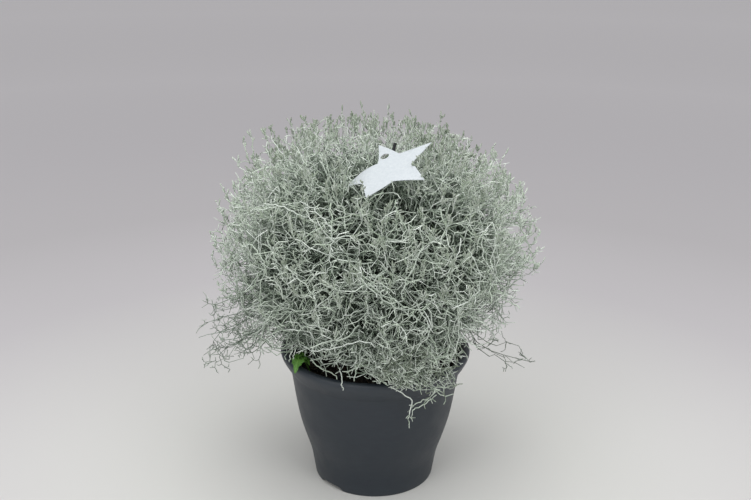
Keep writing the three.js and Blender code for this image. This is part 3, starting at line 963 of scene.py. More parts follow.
# Long pale strands that stand out at the front of the bush: x and z in millimetres.
FRONT_STRANDS = (
    ((92, 328), (99, 316), (106, 297), (103, 283), (93, 275), (84, 264), (78, 243)),
    ((-32, 315), (-18, 307), (-4, 295), (14, 282), (32, 269), (46, 263)),
    ((-8, 303), (14, 287), (29, 278), (44, 273), (55, 280), (60, 288)),
    ((47, 335), (34, 312), (26, 295), (24, 284), (16, 264), (10, 252)),
    ((-111, 331), (-105, 321), (-99, 307), (-92, 298)),
    ((-90, 312), (-80, 303), (-64, 288), (-59, 278), (-54, 261)),
    ((-77, 371), (-64, 366), (-48, 354), (-44, 341), (-47, 325), (-46, 310)),
    ((19, 377), (19, 369), (27, 357), (34, 344), (37, 330)),
)

# Thin twigs that lie loose beside the bush: in a net at its lower left, nearly level at its lower
# right. Each has its turn, radius and height of tip, radius and height of bend, stoutness, and
# freshness, which also paints shade on the twigs that lie in shade.
LOOSE_TWIGS = (
    HangingTwig(-172, 0.200, 0.216, 0.152, 0.230, 0.48, 0.9),
    HangingTwig(-160, 0.152, 0.158, 0.128, 0.188, 0.44, 0.45),
    HangingTwig(-168, 0.203, 0.200, 0.150, 0.218, 0.50, 0.9),
    HangingTwig(170, 0.192, 0.186, 0.142, 0.212, 0.45, 0.85),
    HangingTwig(-166, 0.204, 0.186, 0.144, 0.208, 0.50, 0.9),
    HangingTwig(163, 0.182, 0.190, 0.140, 0.210, 0.45, 0.8),
    HangingTwig(-160, 0.202, 0.176, 0.140, 0.200, 0.50, 0.8),
    HangingTwig(-179, 0.190, 0.170, 0.136, 0.198, 0.48, 0.7),
    HangingTwig(-163, 0.182, 0.164, 0.134, 0.196, 0.48, 0.7),
    HangingTwig(174, 0.178, 0.168, 0.134, 0.196, 0.45, 0.6),
    HangingTwig(-157, 0.172, 0.170, 0.134, 0.198, 0.45, 0.8),
    HangingTwig(-171, 0.180, 0.162, 0.130, 0.192, 0.46, 0.5),
    HangingTwig(-177, 0.168, 0.163, 0.128, 0.188, 0.44, 0.45),
    HangingTwig(-165, 0.166, 0.163, 0.128, 0.188, 0.44, 0.45),
    HangingTwig(156, 0.168, 0.178, 0.134, 0.202, 0.45, 0.7),
    HangingTwig(4, 0.194, 0.129, 0.128, 0.156, 0.42, 0.4),
    HangingTwig(2, 0.176, 0.134, 0.126, 0.152, 0.40, 0.4),
    HangingTwig(8, 0.180, 0.143, 0.126, 0.162, 0.40, 0.4),
    HangingTwig(-4, 0.158, 0.148, 0.126, 0.162, 0.40, 0.35),
    HangingTwig(16, 0.150, 0.158, 0.128, 0.176, 0.38, 0.5),
)


def evenly(ends: Range, shape: tuple) -> Array:
    """An even change from one end to the other along each of many twigs.

    Args:
        ends: value at the root and at the tip.
        shape: how many twigs there are, and how many points each has.

    Returns:
        Value at each point.
    """
    return np.linspace(*ends, shape[1])[None].repeat(shape[0], 0)


def sweep(root: Array, set_out: Array, tip: Array, arrive: Array, count: int) -> Array:
    """Runs a smooth curve from each root to its tip.

    Args:
        root: start of each curve.
        set_out: way and strength with which it leaves the root.
        tip: end of each curve.
        arrive: way and strength with which it comes to the tip.
        count: how many points each curve gets.

    Returns:
        Points of the curves.
    """
    t = np.linspace(0, 1, count)[None, :, None]
    return ((2 * t ** 3 - 3 * t ** 2 + 1) * root[:, None] + (t ** 3 - 2 * t ** 2 + t) * set_out[:, None]
            + (3 * t ** 2 - 2 * t ** 3) * tip[:, None] + (t ** 3 - t ** 2) * arrive[:, None])


@dataclass
class Strands:
    """Many twigs of one order, with as many points each."""

    path: Array
    radius: Array
    age: Array
    spray: Array
    sides: int = 3
    steep_from: float = 0.9

    def picked(self, which: Array) -> "Strands":
        """The twigs that are picked by a mask or by their numbers."""
        return Strands(self.path[which], self.radius[which], self.age[which], self.spray[which],
                       self.sides)

    def worn(self, stout: Array, fresh_and_shaded: Array) -> "Strands":
        """The twigs with their thickness and their age scaled, twig by twig, the age also as painted
        shade.
        """
        return Strands(self.path, self.radius * np.reshape(stout, (-1, 1)),
                       self.age * np.reshape(fresh_and_shaded, (-1, 1)), self.spray, self.sides)

    def tubes(self) -> tuple[Array, list[Array]]:
        """Closed tubes round the twigs.

        Returns:
            Vertices, and arrays of faces: walls, then root ends, then tip ends.
        """
        count, points = self.path.shape[:2]
        along = unit(np.gradient(self.path, axis=1))
        steep = np.abs(along[:, :1, 2:]) >= self.steep_from
        first = np.where(steep, SIDEWAYS, UP)[:, 0]
        across = np.empty_like(self.path)
        for i in range(points):
            first = unit(first - along[:, i] * dot(first, along[:, i]))
            across[:, i] = first
        third = np.cross(along, across)
        turn = 2 * math.pi * np.arange(self.sides) / self.sides
        ring = (across[:, :, None] * np.cos(turn)[:, None] + third[:, :, None] * np.sin(turn)[:, None])
        vertices = self.path[:, :, None] + self.radius[:, :, None, None] * ring
        side = np.arange(self.sides)
        base = self.sides * points * np.arange(count)
        walls = (bands(points, self.sides)[None] + base[:, None, None]).reshape(-1, 4)
        roots = base[:, None] + side[::-1]
        tips = base[:, None] + side + self.sides * (points - 1)
        return vertices.reshape(-1, 3), [walls, roots, tips]


@dataclass
class CushionBush:
    """The bush: stems from the soil, and on them branches, side twigs, twiglets and budded sprigs.

    How far out something is, is a share of BushSpace's ball: 0 in the middle, 1 on the outline. Turns
    are in degrees about Z, and a pair of turns is the middle of a sector and half its width.
    """

    random: np.random.Generator
    space: BushSpace = field(default_factory=BushSpace)

    # Stems, one for each spray of the frame.
    rings: tuple = (
        SprayRing(0, 1, 0, 0, 0.2),
        SprayRing(41, 5, -54, 15 * MM, 0.25),
        SprayRing(78, 7, -79.3, 28 * MM, 0.25),
        SprayRing(116, 8, -90, 41 * MM, 0),
    )
    low_bend_r: float = 66 * MM
    low_bend_z: float = 205 * MM
    stem_start_z: float = 112.3 * MM
    stem_leaves_z: float = 152 * MM
    stem_top: float = 0.54
    stem_radii: Range = (3.2 * MM, 2.0 * MM)
    stem_age: float = 0.06
    stem_points: int = 22
    stem_sides: int = 7

    # Branches, which leave the stems from a certain point on.
    branch_count: int = 900
    branch_reach: Range = (0.5, 0.8)
    branch_lowest: float = 142
    branch_scatter: float = 0.05
    branch_radii: Range = (1.6 * MM, 0.68 * MM)
    branch_ages: Range = (0.25, 0.78)
    branch_points: int = 10
    branch_sides: int = 4
    branch_first: int = 9
    branch_hidden: int = 4
    branch_stem_pull: float = 0.5
    branch_lift: float = 0.4
    branch_arrival: float = 0.9
    branch_chances: Range = (0.35, 0.5)
    branch_noise: float = 1.5 * MM

    # Habits that the twigs of all orders share.
    fork_chance: float = 0.45
    stride_spread: Range = (0.75, 1.25)

    # The outline of the bush and how it is broken up.
    lump_count: int = 9
    lump_waves: Range = (7.0, 15.0)
    lump_depth: float = 0.08
    lump_scale: float = 1.5
    furthest: Range = (0.95, 1.035)
    hang_reach: float = 0.2
    least_share: float = 0.3
    half_width: float = 202.5 * MM
    half_depth: float = 181.5 * MM
    top: float = 442 * MM

    # Room kept clear for the pot and the soil. Each open lip has its two turns, the height under which
    # no twig comes and how far from the axis that holds.
    rim_inner_r: float = 95 * MM
    rim_outer_r: float = 114.5 * MM
    rim_top: float = 166 * MM
    rim_foot: float = 136 * MM
    wall_r: float = 103 * MM
    soil_top: float = 150 * MM
    open_lips: tuple = ((-138, 46, 172 * MM, 135 * MM), (-100, 13, 168 * MM, 135 * MM),
                        (-15, 27, 189 * MM, 152 * MM))

    # The weed, the way from it to the camera, and how far and how wide that way is kept clear.
    weed_at: tuple = (-0.087, -0.060, 0.160)
    weed_sight: tuple = (0.05, -0.82, 0.39)
    weed_view: float = 85 * MM
    weed_room: float = 14 * MM

    # Fewer twigs under the skirt, more of them in the tuft at the left, none astray at the right.
    skirt_z: float = 190 * MM
    skirt_share: float = 0.36
    tuft: Range = (176, 24)
    tuft_share: float = 0.85
    stray: Range = (-55, 42)
    stray_r: float = 134 * MM

    # How much duller the twigs deep inside are, as they are older, how much painted shade darkens those
    # of the skirt and of the sides, and where each sets in.
    inner_fresh: float = 0.22
    fresh_band: Range = (0.5, 0.9)
    skirt_painted_shade: float = 0.38
    skirt_band: Range = (0.05, 0.85)
    side_painted_shade: float = 0.12
    side_shade_band: Range = (0.55, 0.95)

    # Foliage that spills over the rim at the right of the front. Its lower edge falls from left to
    # right.
    spill_sector: Range = (-66, 23)
    spill_count: int = 32
    spill_edge_turns: tuple = (-89, -77, -66, -43)
    spill_edge_z: tuple = (180 * MM, 163 * MM, 154 * MM, 145 * MM)
    spill_fringe: float = 6 * MM
    spill_depth: float = 20 * MM
    spill_tip_r: Range = (116 * MM, 129 * MM)
    spill_bend_r: Range = (112 * MM, 122 * MM)
    spill_bend_z: Range = (182 * MM, 200 * MM)
    spill_sweep: Range = (4, 22)
    spill_turn_noise: float = 1.5
    spill_stout: float = 0.62
    # Share of the skirt's painted shade that the foliage over the rim keeps, as it hangs in the light.
    spill_shade_share: float = 0.3
    spill_twiglets: float = 0.36
    hang_stem_point: int = -6
    hang_rise: float = 12 * MM
    hang_bow: float = 3 * MM
    hang_noise: float = 2.4 * MM

    # Single strands over the rim and at the front.
    rim_look: StrandLook = StrandLook(12, (0.68 * MM, 0.56 * MM), 0.74, 0.5 * MM)
    front_look: StrandLook = StrandLook(22, (0.64 * MM, 0.44 * MM), 0.62, 1.1 * MM)
    front_far: float = 0.965
    front_steps: int = 20
    front_twiglets: float = 0.6
    front_lengths: Range = (7 * MM, 20 * MM)

    # Sprigs. Those on the crown and the lone ones at the upper left stand out further.
    sprig_count: int = 1150
    sprig_roots_far: float = 0.82
    sprig_rise: float = 0.05
    sprig_rise_noise: float = 0.25
    sprig_pulls: tuple = (0.25, 0.5, 0.95)
    sprig_noise: float = 0.18
    sprig_furthest: Range = (0.88, 1.06)
    crown_furthest: Range = (0.98, 1.1)
    crown_rise: float = 0.75
    crown_side: Range = (-50 * MM, 12 * MM)
    lone_furthest: float = 1.12
    lone_roots: tuple = ((-0.141, -0.006, 0.381), (-0.136, 0.004, 0.384))
    bud_radii: Range = (0.66 * MM, 1.12 * MM)

    # Long pale twigs, between two heights of the ball.
    long_twig_count: int = 210
    long_twig_heights: Range = (0.75, -0.65)
    long_twig_turn: float = 0.7
    long_twig_far: Range = (0.76, 0.9)
    long_twig_out: float = 0.06

    # The orders of twig.
    side: TwigOrder = TwigOrder(
        first_node=2, share=0.8, lean=(35, 75), length=(28 * MM, 70 * MM), points=7,
        radii=(0.78 * MM, 0.49 * MM), ages=(0.55, 0.85), curl=(0.2, 1.9), lift=0.3, outward=0.28,
        zigzag=0.3)
    twiglet: TwigOrder = TwigOrder(
        first_node=1, share=0.66, lean=(40, 82), length=(8 * MM, 24 * MM), points=3,
        radii=(0.5 * MM, 0.42 * MM), ages=(0.6, 0.9), curl=(0.0, 0.9), lift=0.15, outward=0.2)
    tip: TwigOrder = TwigOrder(
        first_node=1, share=0.3, lean=(40, 80), length=(3 * MM, 9 * MM), points=2,
        radii=(0.44 * MM, 0.52 * MM), ages=(0.75, 0.97), curl=(0.0, 0.2), lift=0.2, outward=0.1)
    sprig: TwigOrder = TwigOrder(
        first_node=0, share=1.0, lean=(0, 0), length=(14 * MM, 30 * MM), points=6,
        radii=(0.62 * MM, 0.5 * MM), ages=(0.72, 0.92), curl=(0.0, 0.35), lift=0.5, outward=0.0,
        zigzag=0.1, wander=0.06)
    shoot: TwigOrder = TwigOrder(
        first_node=1, share=1.0, lean=(28, 55), length=(3.5 * MM, 9 * MM), points=4,
        radii=(0.42 * MM, 0.6 * MM), ages=(0.8, 1.0), curl=(0.0, 0.3), lift=0.8, outward=0.0,
        zigzag=0.1, wander=0.05, per_node=2)
    long_twig: TwigOrder = TwigOrder(
        first_node=0, share=1.0, lean=(0, 0), length=(60 * MM, 130 * MM), points=12,
        radii=(0.8 * MM, 0.52 * MM), ages=(0.7, 0.84), curl=(0.8, 3.0), lift=0.1, outward=0.0,
        zigzag=0.28, wander=0.16, sides=4)
    spill_side: TwigOrder = TwigOrder(
        first_node=3, share=0.66, lean=(35, 80), length=(14 * MM, 40 * MM), points=7,
        radii=(0.8 * MM, 0.56 * MM), ages=(0.84, 1.24), curl=(0.4, 1.9), lift=0.25, outward=0.15,
        zigzag=0.3, per_node=2)
    loose_side: TwigOrder = TwigOrder(
        first_node=3, share=0.85, lean=(30, 75), length=(12 * MM, 30 * MM), points=6,
        radii=(0.46 * MM, 0.38 * MM), ages=(0.45, 0.78), curl=(0.4, 1.8), lift=0.3, outward=0.35,
        zigzag=0.34, per_node=2)
    tassel: TwigOrder = TwigOrder(
        first_node=9, share=1.0, lean=(40, 85), length=(6 * MM, 11 * MM), points=3,
        radii=(0.52 * MM, 0.6 * MM), ages=(0.68, 0.85), curl=(0.0, 0.6), lift=0.0, outward=0.1,
        per_node=2, hangs_free=True)
    loose_twiglet: TwigOrder = TwigOrder(
        first_node=1, share=0.85, lean=(40, 80), length=(4 * MM, 11 * MM), points=3,
        radii=(0.38 * MM, 0.42 * MM), ages=(0.5, 0.85), curl=(0.0, 0.6), lift=0.2, outward=0.3)

    def spray_list(self) -> list[tuple[SprayRing, float]]:
        """Ring and turn in degrees of each spray, in the order of their names."""
        return [(ring, ring.turn + 360 * i / ring.count) for ring in self.rings
                for i in range(ring.count)]

    def spray_ways(self) -> Array:
        """Direction of each spray in the ball.

        Returns:
            One way for each spray, of length 1.
        """
        listed = self.spray_list()
        tilt = np.radians([ring.tilt for ring, _ in listed])
        turn = np.radians([turn for _, turn in listed])
        return ball_ways(tilt, turn)

    def nearest_spray(self, points: Array) -> Array:
        """Number of the spray whose share of the bush each point is in."""
        ball = unit(self.space.to_ball(points))
        return np.argmax(ball @ self.spray_ways().T, axis=-1)

    def far_out(self, points: Array) -> Array:
        """How far out points are: 0 in the middle, 1 on the bush's outline."""
        return self.space.share(self.space.to_ball(points))

    def grow_stems(self) -> Strands:
        """The stems, from their holes in the soil to the middle of their sprays.

        Returns:
            One strand for each spray.
        """
        paths = []
        for (ring, turn), way in zip(self.spray_list(), self.spray_ways()):
            a = math.radians(turn)
            side = np.array([math.cos(a), math.sin(a), 0])
            foot = side * ring.soil_r
            if ring.bend:
                bend = self.space.from_ball(way * ring.bend)
            else:
                bend = side * self.low_bend_r + UP * self.low_bend_z
            points = np.array([foot + UP * self.stem_start_z, foot + UP * self.stem_leaves_z, bend,
                               self.space.from_ball(way * self.stem_top)])
            paths.append(spline(points, self.stem_points))
        path = np.array(paths)
        radius = evenly(self.stem_radii, path.shape[:2])
        age = np.full(radius.shape, self.stem_age)
        return Strands(path, radius, age, np.arange(len(path)), self.stem_sides)

    def drawn_in(self, path: Array, furthest: Range) -> Array:
        """Shortens the twigs that would leave the bush, and draws in what is still too far out.

        Args:
            path: points of the twigs.
            furthest: how far out the twigs that start in the bush may reach.

        Returns:
            The moved points.
        """
        root, share = path[:, :1], self.far_out(path)
        start = share[:, 0]
        limit = np.where(start > furthest[1], start + self.hang_reach,
                         self.random.uniform(furthest[0], furthest[1], len(path)))
        wanted = np.maximum(share.max(axis=1) - start, LEAST_SHARE)
        size = np.clip((limit - start) / wanted, self.least_share, 1)[:, None, None]
        ball = self.space.to_ball(root + (path - root) * size)
        share = np.maximum(self.space.share(ball), LEAST_SHARE)
        outermost = np.maximum(limit, furthest[1])[:, None]
        return self.space.from_ball(ball * np.minimum(outermost / share, 1)[..., None])

    def is_clear(self, path: Array) -> Array:
        """Whether each twig stays clear of the pot, the soil, the tag and the weed.

        Args:
            path: points of the twigs.

        Returns:
            One truth for each twig.
        """
        flat, z = np.hypot(path[..., 0], path[..., 1]), path[..., 2]
        rim = (flat > self.rim_inner_r) & (flat < self.rim_outer_r) & (z < self.rim_top)
        rim &= (z > self.rim_foot) | (flat < self.wall_r)
        soil = (flat <= self.rim_inner_r) & (z < self.soil_top)
        lip = np.zeros(flat.shape, bool)
        for middle, half, top, reach in self.open_lips:
            lip |= self.near_turn(path, middle, half) & (flat < reach) & (z < top)
        from_weed = path - np.array(self.weed_at)
        sight = unit(np.array(self.weed_sight))
        along_sight = np.clip(from_weed @ sight, 0, self.weed_view)[..., None] * sight
        weed = np.linalg.norm(from_weed - along_sight, axis=-1) < self.weed_room
        beyond = ((np.abs(path[..., 0]) > self.half_width) | (np.abs(path[..., 1]) > self.half_depth)
                  | (z > self.top))
        return ~(rim | soil | lip | weed | beyond | CARD.covers(path)).any(axis=1)

    def near_turn(self, points: Array, middle: float, half: float) -> Array:
        """Whether points are within half of a direction about Z, both in degrees.

        Args:
            points: points in metres.
            middle: direction of the sector's middle.
            half: half its width.

        Returns:
            One truth for each point.
        """
        turn = np.degrees(np.arctan2(points[..., 1], points[..., 0]))
        return np.abs((turn - middle + 180) % 360 - 180) < half

    def aged_and_shaded(self, path: Array, age: Array) -> Array:
        """Makes twigs deep in the bush duller, as they are older, and paints shade on those of its skirt
        and, a little, of its sides.

        The twigs over the rim at the right of the front hang in the light and get less painted shade.

        Args:
            path: points of the twigs.
            age: their age at the outline.

        Returns:
            Age at each point, darkened by the painted shade.
        """
        ball = self.space.to_ball(path)
        deep = smooth_step(*self.fresh_band, self.space.share(ball))
        fresh_and_shaded = self.inner_fresh + (1 - self.inner_fresh) * deep
        lit = (self.near_turn(path, *self.spill_sector)
               & (np.hypot(path[..., 0], path[..., 1]) > self.rim_outer_r))
        # Painted shade under the skirt, less over the rim where it hangs lit, and a little at the sides.
        skirt = np.where(lit, self.spill_shade_share, 1) * smooth_step(*self.skirt_band, -ball[..., 2])
        fresh_and_shaded *= 1 - self.skirt_painted_shade * skirt
        return age * fresh_and_shaded * (1 - self.side_painted_shade * smooth_step(*self.side_shade_band, np.abs(ball[..., 0])))

    def bent(self, root: Array, way: Array, order: TwigOrder) -> Array:
        """Lays twigs that set out one way and curl as they grow.

        Args:
            root: start of each twig.
            way: direction it sets out in.
            order: its order's habits.

        Returns:
            Points of the twigs.
        """
        count, steps = len(root), order.points - 1
        stride = self.random.uniform(*order.length, (count, 1)) / steps
        curl = unit(np.cross(way, self.random.normal(size=(count, 3))))
        curl = curl * self.random.uniform(*order.curl, (count, 1)) / steps
        zigzag = order.zigzag * unit(np.cross(way, self.random.normal(size=(count, 3))))
        heading, place, path = way, root, [root]
        for step in range(steps):
            heading = unit(heading + curl + UP * order.lift / steps
                           + self.random.normal(0, order.wander, (count, 3)))
            swerve = unit(heading + (zigzag if step % 2 else -zigzag))
            place = place + swerve * stride * self.random.uniform(*self.stride_spread, (count, 1))
            path.append(place)
        return np.stack(path, 1)

    def fork(self, parents: Strands, order: TwigOrder) -> Strands:
        """Grows twigs of the next order from the points of their parents.

        Args:
            parents: twigs that they fork from.
            order: habits of the new twigs.

        Returns:
            The new twigs.
        """
        last = parents.path.shape[1] - 1
        nodes = np.repeat(np.arange(order.first_node, last + 1), order.per_node)
        parent = np.repeat(np.arange(len(parents.path)), len(nodes))
        node = np.tile(nodes, len(parents.path))
        grows = self.random.uniform(0, 1, len(node)) < order.share
        parent, node = parent[grows], node[grows]
        root = parents.path[parent, node]
        before = unit(root - parents.path[parent, node - 1])
        # Nothing comes after the last point, so there the parent is taken to go straight on.
        after = unit(parents.path[parent, np.minimum(node + 1, last)] - root + before * LEAST_SHARE)
        chance = self.random.normal(size=root.shape)
        aside = unit(before - after) + self.fork_chance * unit(chance)
        aside = unit(aside - before * dot(aside, before))
        lean = np.radians(self.random.uniform(*order.lean, (len(node), 1)))
        way = before * np.cos(lean) + aside * np.sin(lean)
        way = unit(way + self.space.outward(root) * order.outward)
        path = self.drawn_in(self.bent(root, way, order), self.furthest)
        return self.strands(path, order, parents.spray[parent])

    def strands(self, path: Array, order: TwigOrder, spray: Array) -> Strands:
        """Gives twigs of an order their thickness and age, and drops those that would not be clear.

        Args:
            path: points of the twigs.
            order: their order's habits.
            spray: number of each one's spray.

        Returns:
            The twigs that are left.
        """
        tip = path[:, -1]
        flat = np.hypot(tip[:, 0], tip[:, 1])
        skirt = (tip[:, 2] < self.skirt_z) & (flat > self.rim_outer_r)
        stray = (flat > self.stray_r) & (tip[:, 2] < self.rim_top) & self.near_turn(tip, *self.stray)
        in_spill = self.near_turn(tip, *self.spill_sector)
        skirt &= ~in_spill
        share = np.where(self.near_turn(tip, *self.tuft), self.tuft_share, self.skirt_share)
        thinned = stray | skirt & (self.random.uniform(0, 1, len(path)) > share)
        if not order.hangs_free:
            turn = np.degrees(np.arctan2(tip[:, 1], tip[:, 0]))
            edge = np.interp(turn, self.spill_edge_turns, self.spill_edge_z) - self.spill_fringe
            thinned |= in_spill & (tip[:, 2] < edge)
        clear = self.is_clear(path) & ~thinned
        path = path[clear]
        radius, age = (evenly(ends, path.shape[:2]) for ends in (order.radii, order.ages))
        return Strands(path, radius, self.aged_and_shaded(path, age), spray[clear], order.sides)

    def lumps(self, way: Array) -> Array:
        """A slow rise and fall over the bush, from -1 to 1, that breaks up its outline.

        Args:
            way: directions in the ball.

        Returns:
            The rise in each direction.
        """
        axes = unit(self.random.normal(size=(self.lump_count, 3)))
        waves = self.random.uniform(*self.lump_waves, self.lump_count)
        shift = self.random.uniform(0, 2 * math.pi, self.lump_count)
        rise = np.cos(way @ axes.T * waves + shift).mean(axis=-1)
        return rise * math.sqrt(self.lump_count) / self.lump_scale

    def grow_branches(self, stems: Strands) -> Strands:
        """Branches from the stems to places spread evenly under the outline.

        Args:
            stems: stems that they leave.

        Returns:
            The branches.
        """
        lowest = math.cos(math.radians(self.branch_lowest))
        nth = np.arange(self.branch_count)
        tilt = np.arccos(1 - (nth + 0.5) / self.branch_count * (1 - lowest))
        scatter = self.random.normal(0, self.branch_scatter, (len(nth), 3))
        way = unit(ball_ways(tilt, nth * GOLDEN_TURN) + scatter)
        far = self.random.uniform(*self.branch_reach, len(way)) + self.lump_depth * self.lumps(way)
        tip = self.space.from_ball(way * (far / self.space.share(way))[:, None])
        spray = np.argmax(way @ self.spray_ways().T, axis=-1)
        at = self.random.integers(self.branch_first, self.stem_points, len(way))
        root = stems.path[spray, at]
        stem_way = unit(stems.path[spray, at] - stems.path[spray, at - 1])
        reach = np.linalg.norm(tip - root, axis=-1, keepdims=True)
        first_chance, last_chance = self.branch_chances
        set_out = unit(stem_way * self.branch_stem_pull + unit(tip - root)
                       + self.random.normal(0, first_chance, way.shape)) * reach
        arrive = unit(self.space.outward(tip) + UP * self.branch_lift
                      + self.random.normal(0, last_chance, way.shape)) * reach * self.branch_arrival
        path = sweep(root, set_out, tip, arrive, self.branch_points)
        path[:, 1:] += self.random.normal(0, self.branch_noise, path[:, 1:].shape)
        clear = self.is_clear(path[:, self.branch_hidden:])
        return self.branches(path[clear], spray[clear])

    def branches(self, path: Array, spray: Array) -> Strands:
        """Gives branches their thickness and age.

        Args:
            path: points of the branches.
            spray: number of each one's spray.

        Returns:
            The branches.
        """
        radius, age = (evenly(ends, path.shape[:2]) for ends in (self.branch_radii, self.branch_ages))
        return Strands(path, radius, self.aged_and_shaded(path, age), spray, self.branch_sides)

    def spill(self) -> list[HangingTwig]:
        """Places many short branches side by side over the rim, at the right of the front.

        Returns:
            Where each branch lies.
        """
        middle, half = self.spill_sector
        turns = np.linspace(-1, 1, self.spill_count) * half + middle
        edges = np.interp(turns, self.spill_edge_turns, self.spill_edge_z)
        return [HangingTwig(turn + self.random.normal(0, self.spill_turn_noise),
                            self.random.uniform(*self.spill_tip_r),
                            edge + self.random.uniform(0, self.spill_depth),
                            self.random.uniform(*self.spill_bend_r),
                            self.random.uniform(*self.spill_bend_z),
                            self.spill_stout, sweep=self.random.uniform(*self.spill_sweep))
                for turn, edge in zip(turns, edges)]

    def hanging_branches(self, stems: Strands, twigs: tuple | list) -> Strands:
        """Branches that hang over the rim or lie loose beside the bush.

        Args:
            stems: stems that they come from.
            twigs: where each one lies.

        Returns:
            The branches.
        """
        paths = []
        for twig in twigs:
            a, b = math.radians(twig.turn), math.radians(twig.turn - twig.sweep)
            side = np.array([math.cos(a), math.sin(a), 0])
            bend = np.array([math.cos(b), math.sin(b), 0]) * twig.bend_r + UP * twig.bend_z
            tip = side * twig.tip_r + UP * twig.tip_z
            stem = stems.path[self.nearest_spray(bend), self.hang_stem_point]
            crown = (stem + bend) / 2 + UP * self.hang_rise
            middle = (bend + tip) / 2 + side * self.hang_bow
            paths.append(spline(np.array([stem, crown, bend, middle, tip]), self.branch_points))
        path = np.array(paths)
        path[:, 1:] += self.random.normal(0, self.hang_noise, path[:, 1:].shape)
        hanging = self.branches(path, self.nearest_spray(path[:, path.shape[1] // 2]))
        # Freshness scales each twig's age, which also paints shade on the loose twigs that lie in shade.
        return hanging.worn([twig.stout for twig in twigs], [twig.fresh_and_shaded for twig in twigs])

    def single_strand(self, line: Array, look: StrandLook, habit: TwigOrder) -> list[Strands]:
        """Grows one strand along a line, with its twiglets.

        Args:
            line: points that it runs through.
            look: its points, thickness, age and unevenness.
            habit: habits of its twiglets.

        Returns:
            The strand and its twiglets.
        """
        path = spline(line, look.points)[None]
        path[:, 1:] += self.random.normal(0, look.noise, path[:, 1:].shape)
        radius = evenly(look.radii, path.shape[:2])
        age = np.full(radius.shape, look.age)
        main = Strands(path, radius, age, self.nearest_spray(path[:, 0]), look.sides)
        return [main, self.fork(main, habit)]

    def rim_strands(self) -> list[Strands]:
        """The strands over the rim that stand out, each with its twiglets.

        Returns:
            The strands and their twiglets.
        """
        grown = []
        for strand in RIM_STRANDS:
            turns, heights = np.array(strand.points).T
            turn = np.radians(turns)
            line = np.stack([strand.reach * np.cos(turn), strand.reach * np.sin(turn), MM * heights], -1)
            habit = replace(self.tassel, first_node=strand.twiglets_from, share=strand.twiglets)
            grown += self.single_strand(line, self.rim_look, habit)
        return grown

    def front_y(self, x: Array, z: Array) -> Array:
        """Finds how far forward points lie when they are on the front of the bush.

        Args:
            x: their places across the bush.
            z: their heights.

        Returns:
            Their y, where they are as far out as the front strands are.
        """
        near, far = np.zeros_like(x), np.full_like(x, -self.half_depth)
        for _ in range(self.front_steps):
            middle = (near + far) / 2
            inside = self.far_out(np.stack([x, middle, z], -1)) < self.front_far
            near, far = np.where(inside, middle, near), np.where(inside, far, middle)
        return near

    def front_strands(self) -> list[Strands]:
        """The long strands that stand out at the front, laid on the bush, each with its twiglets.

        Returns:
            The strands and their twiglets.
        """
        grown = []
        habit = replace(self.tassel, first_node=2, share=self.front_twiglets,
                        length=self.front_lengths, per_node=1)
        for strand in FRONT_STRANDS:
            x, z = MM * np.array(strand).T
            line = np.stack([x, self.front_y(x, z), z], -1)
            grown += self.single_strand(line, self.front_look, habit)
        return grown

    def grow_sprigs(self, parents: Strands) -> list[Strands]:
        """Upright feathery sprigs with budded shoots, on the upper part of the bush.

        Args:
            parents: twigs whose tips they grow on.

        Returns:
            The sprigs and their shoots.
        """
        tip = parents.path[:, -1]
        rise = self.space.to_ball(tip)[:, 2]
        rise = rise + self.random.normal(0, self.sprig_rise_noise, len(tip))
        outer = np.flatnonzero((self.far_out(tip) > self.sprig_roots_far) & (rise > self.sprig_rise))
        chosen = self.random.permutation(outer)[:self.sprig_count]
        root, along = tip[chosen], unit(tip[chosen] - parents.path[chosen, -2])
        lone = np.array(self.lone_roots)
        root, along = np.vstack([root, lone]), np.vstack([along, UP + 0 * lone])
        on, out, up = self.sprig_pulls
        way = unit(along * on + self.space.outward(root) * out + UP * up
                   + self.random.normal(0, self.sprig_noise, root.shape))
        crown = (root[:, 0] > self.crown_side[0]) & (root[:, 0] < self.crown_side[1])
        crown &= self.space.to_ball(root)[:, 2] > self.crown_rise
        furthest = np.where(crown[:, None], self.crown_furthest, self.sprig_furthest)
        furthest[-len(lone):] = self.lone_furthest
        path = self.drawn_in(self.bent(root, way, self.sprig), furthest.T)
        sprigs = self.strands(path, self.sprig, self.nearest_spray(root))
        shoots = self.fork(sprigs, self.shoot)
        shoots.radius[:, 1:3] = self.bud_radii
        return [sprigs, shoots]

    def grow_long_twigs(self) -> Strands:
        """Long pale twigs that sweep across the outside of the bush.

        Returns:
            The twigs.
        """
        nth = np.arange(self.long_twig_count)
        high, low = self.long_twig_heights
        tilt = np.arccos(high - (nth + 0.5) / self.long_twig_count * (high - low))
        way = ball_ways(tilt, nth * GOLDEN_TURN + self.long_twig_turn)
        far = self.random.uniform(*self.long_twig_far, len(way)) / self.space.share(way)
        root = self.space.from_ball(way * far[:, None])
        out = self.space.outward(root)
        level = unit(np.cross(out, self.random.normal(size=out.shape)))
        way = unit(level + out * self.long_twig_out)
        path = self.drawn_in(self.bent(root, way, self.long_twig), self.furthest)
        return self.strands(path, self.long_twig, self.nearest_spray(root))

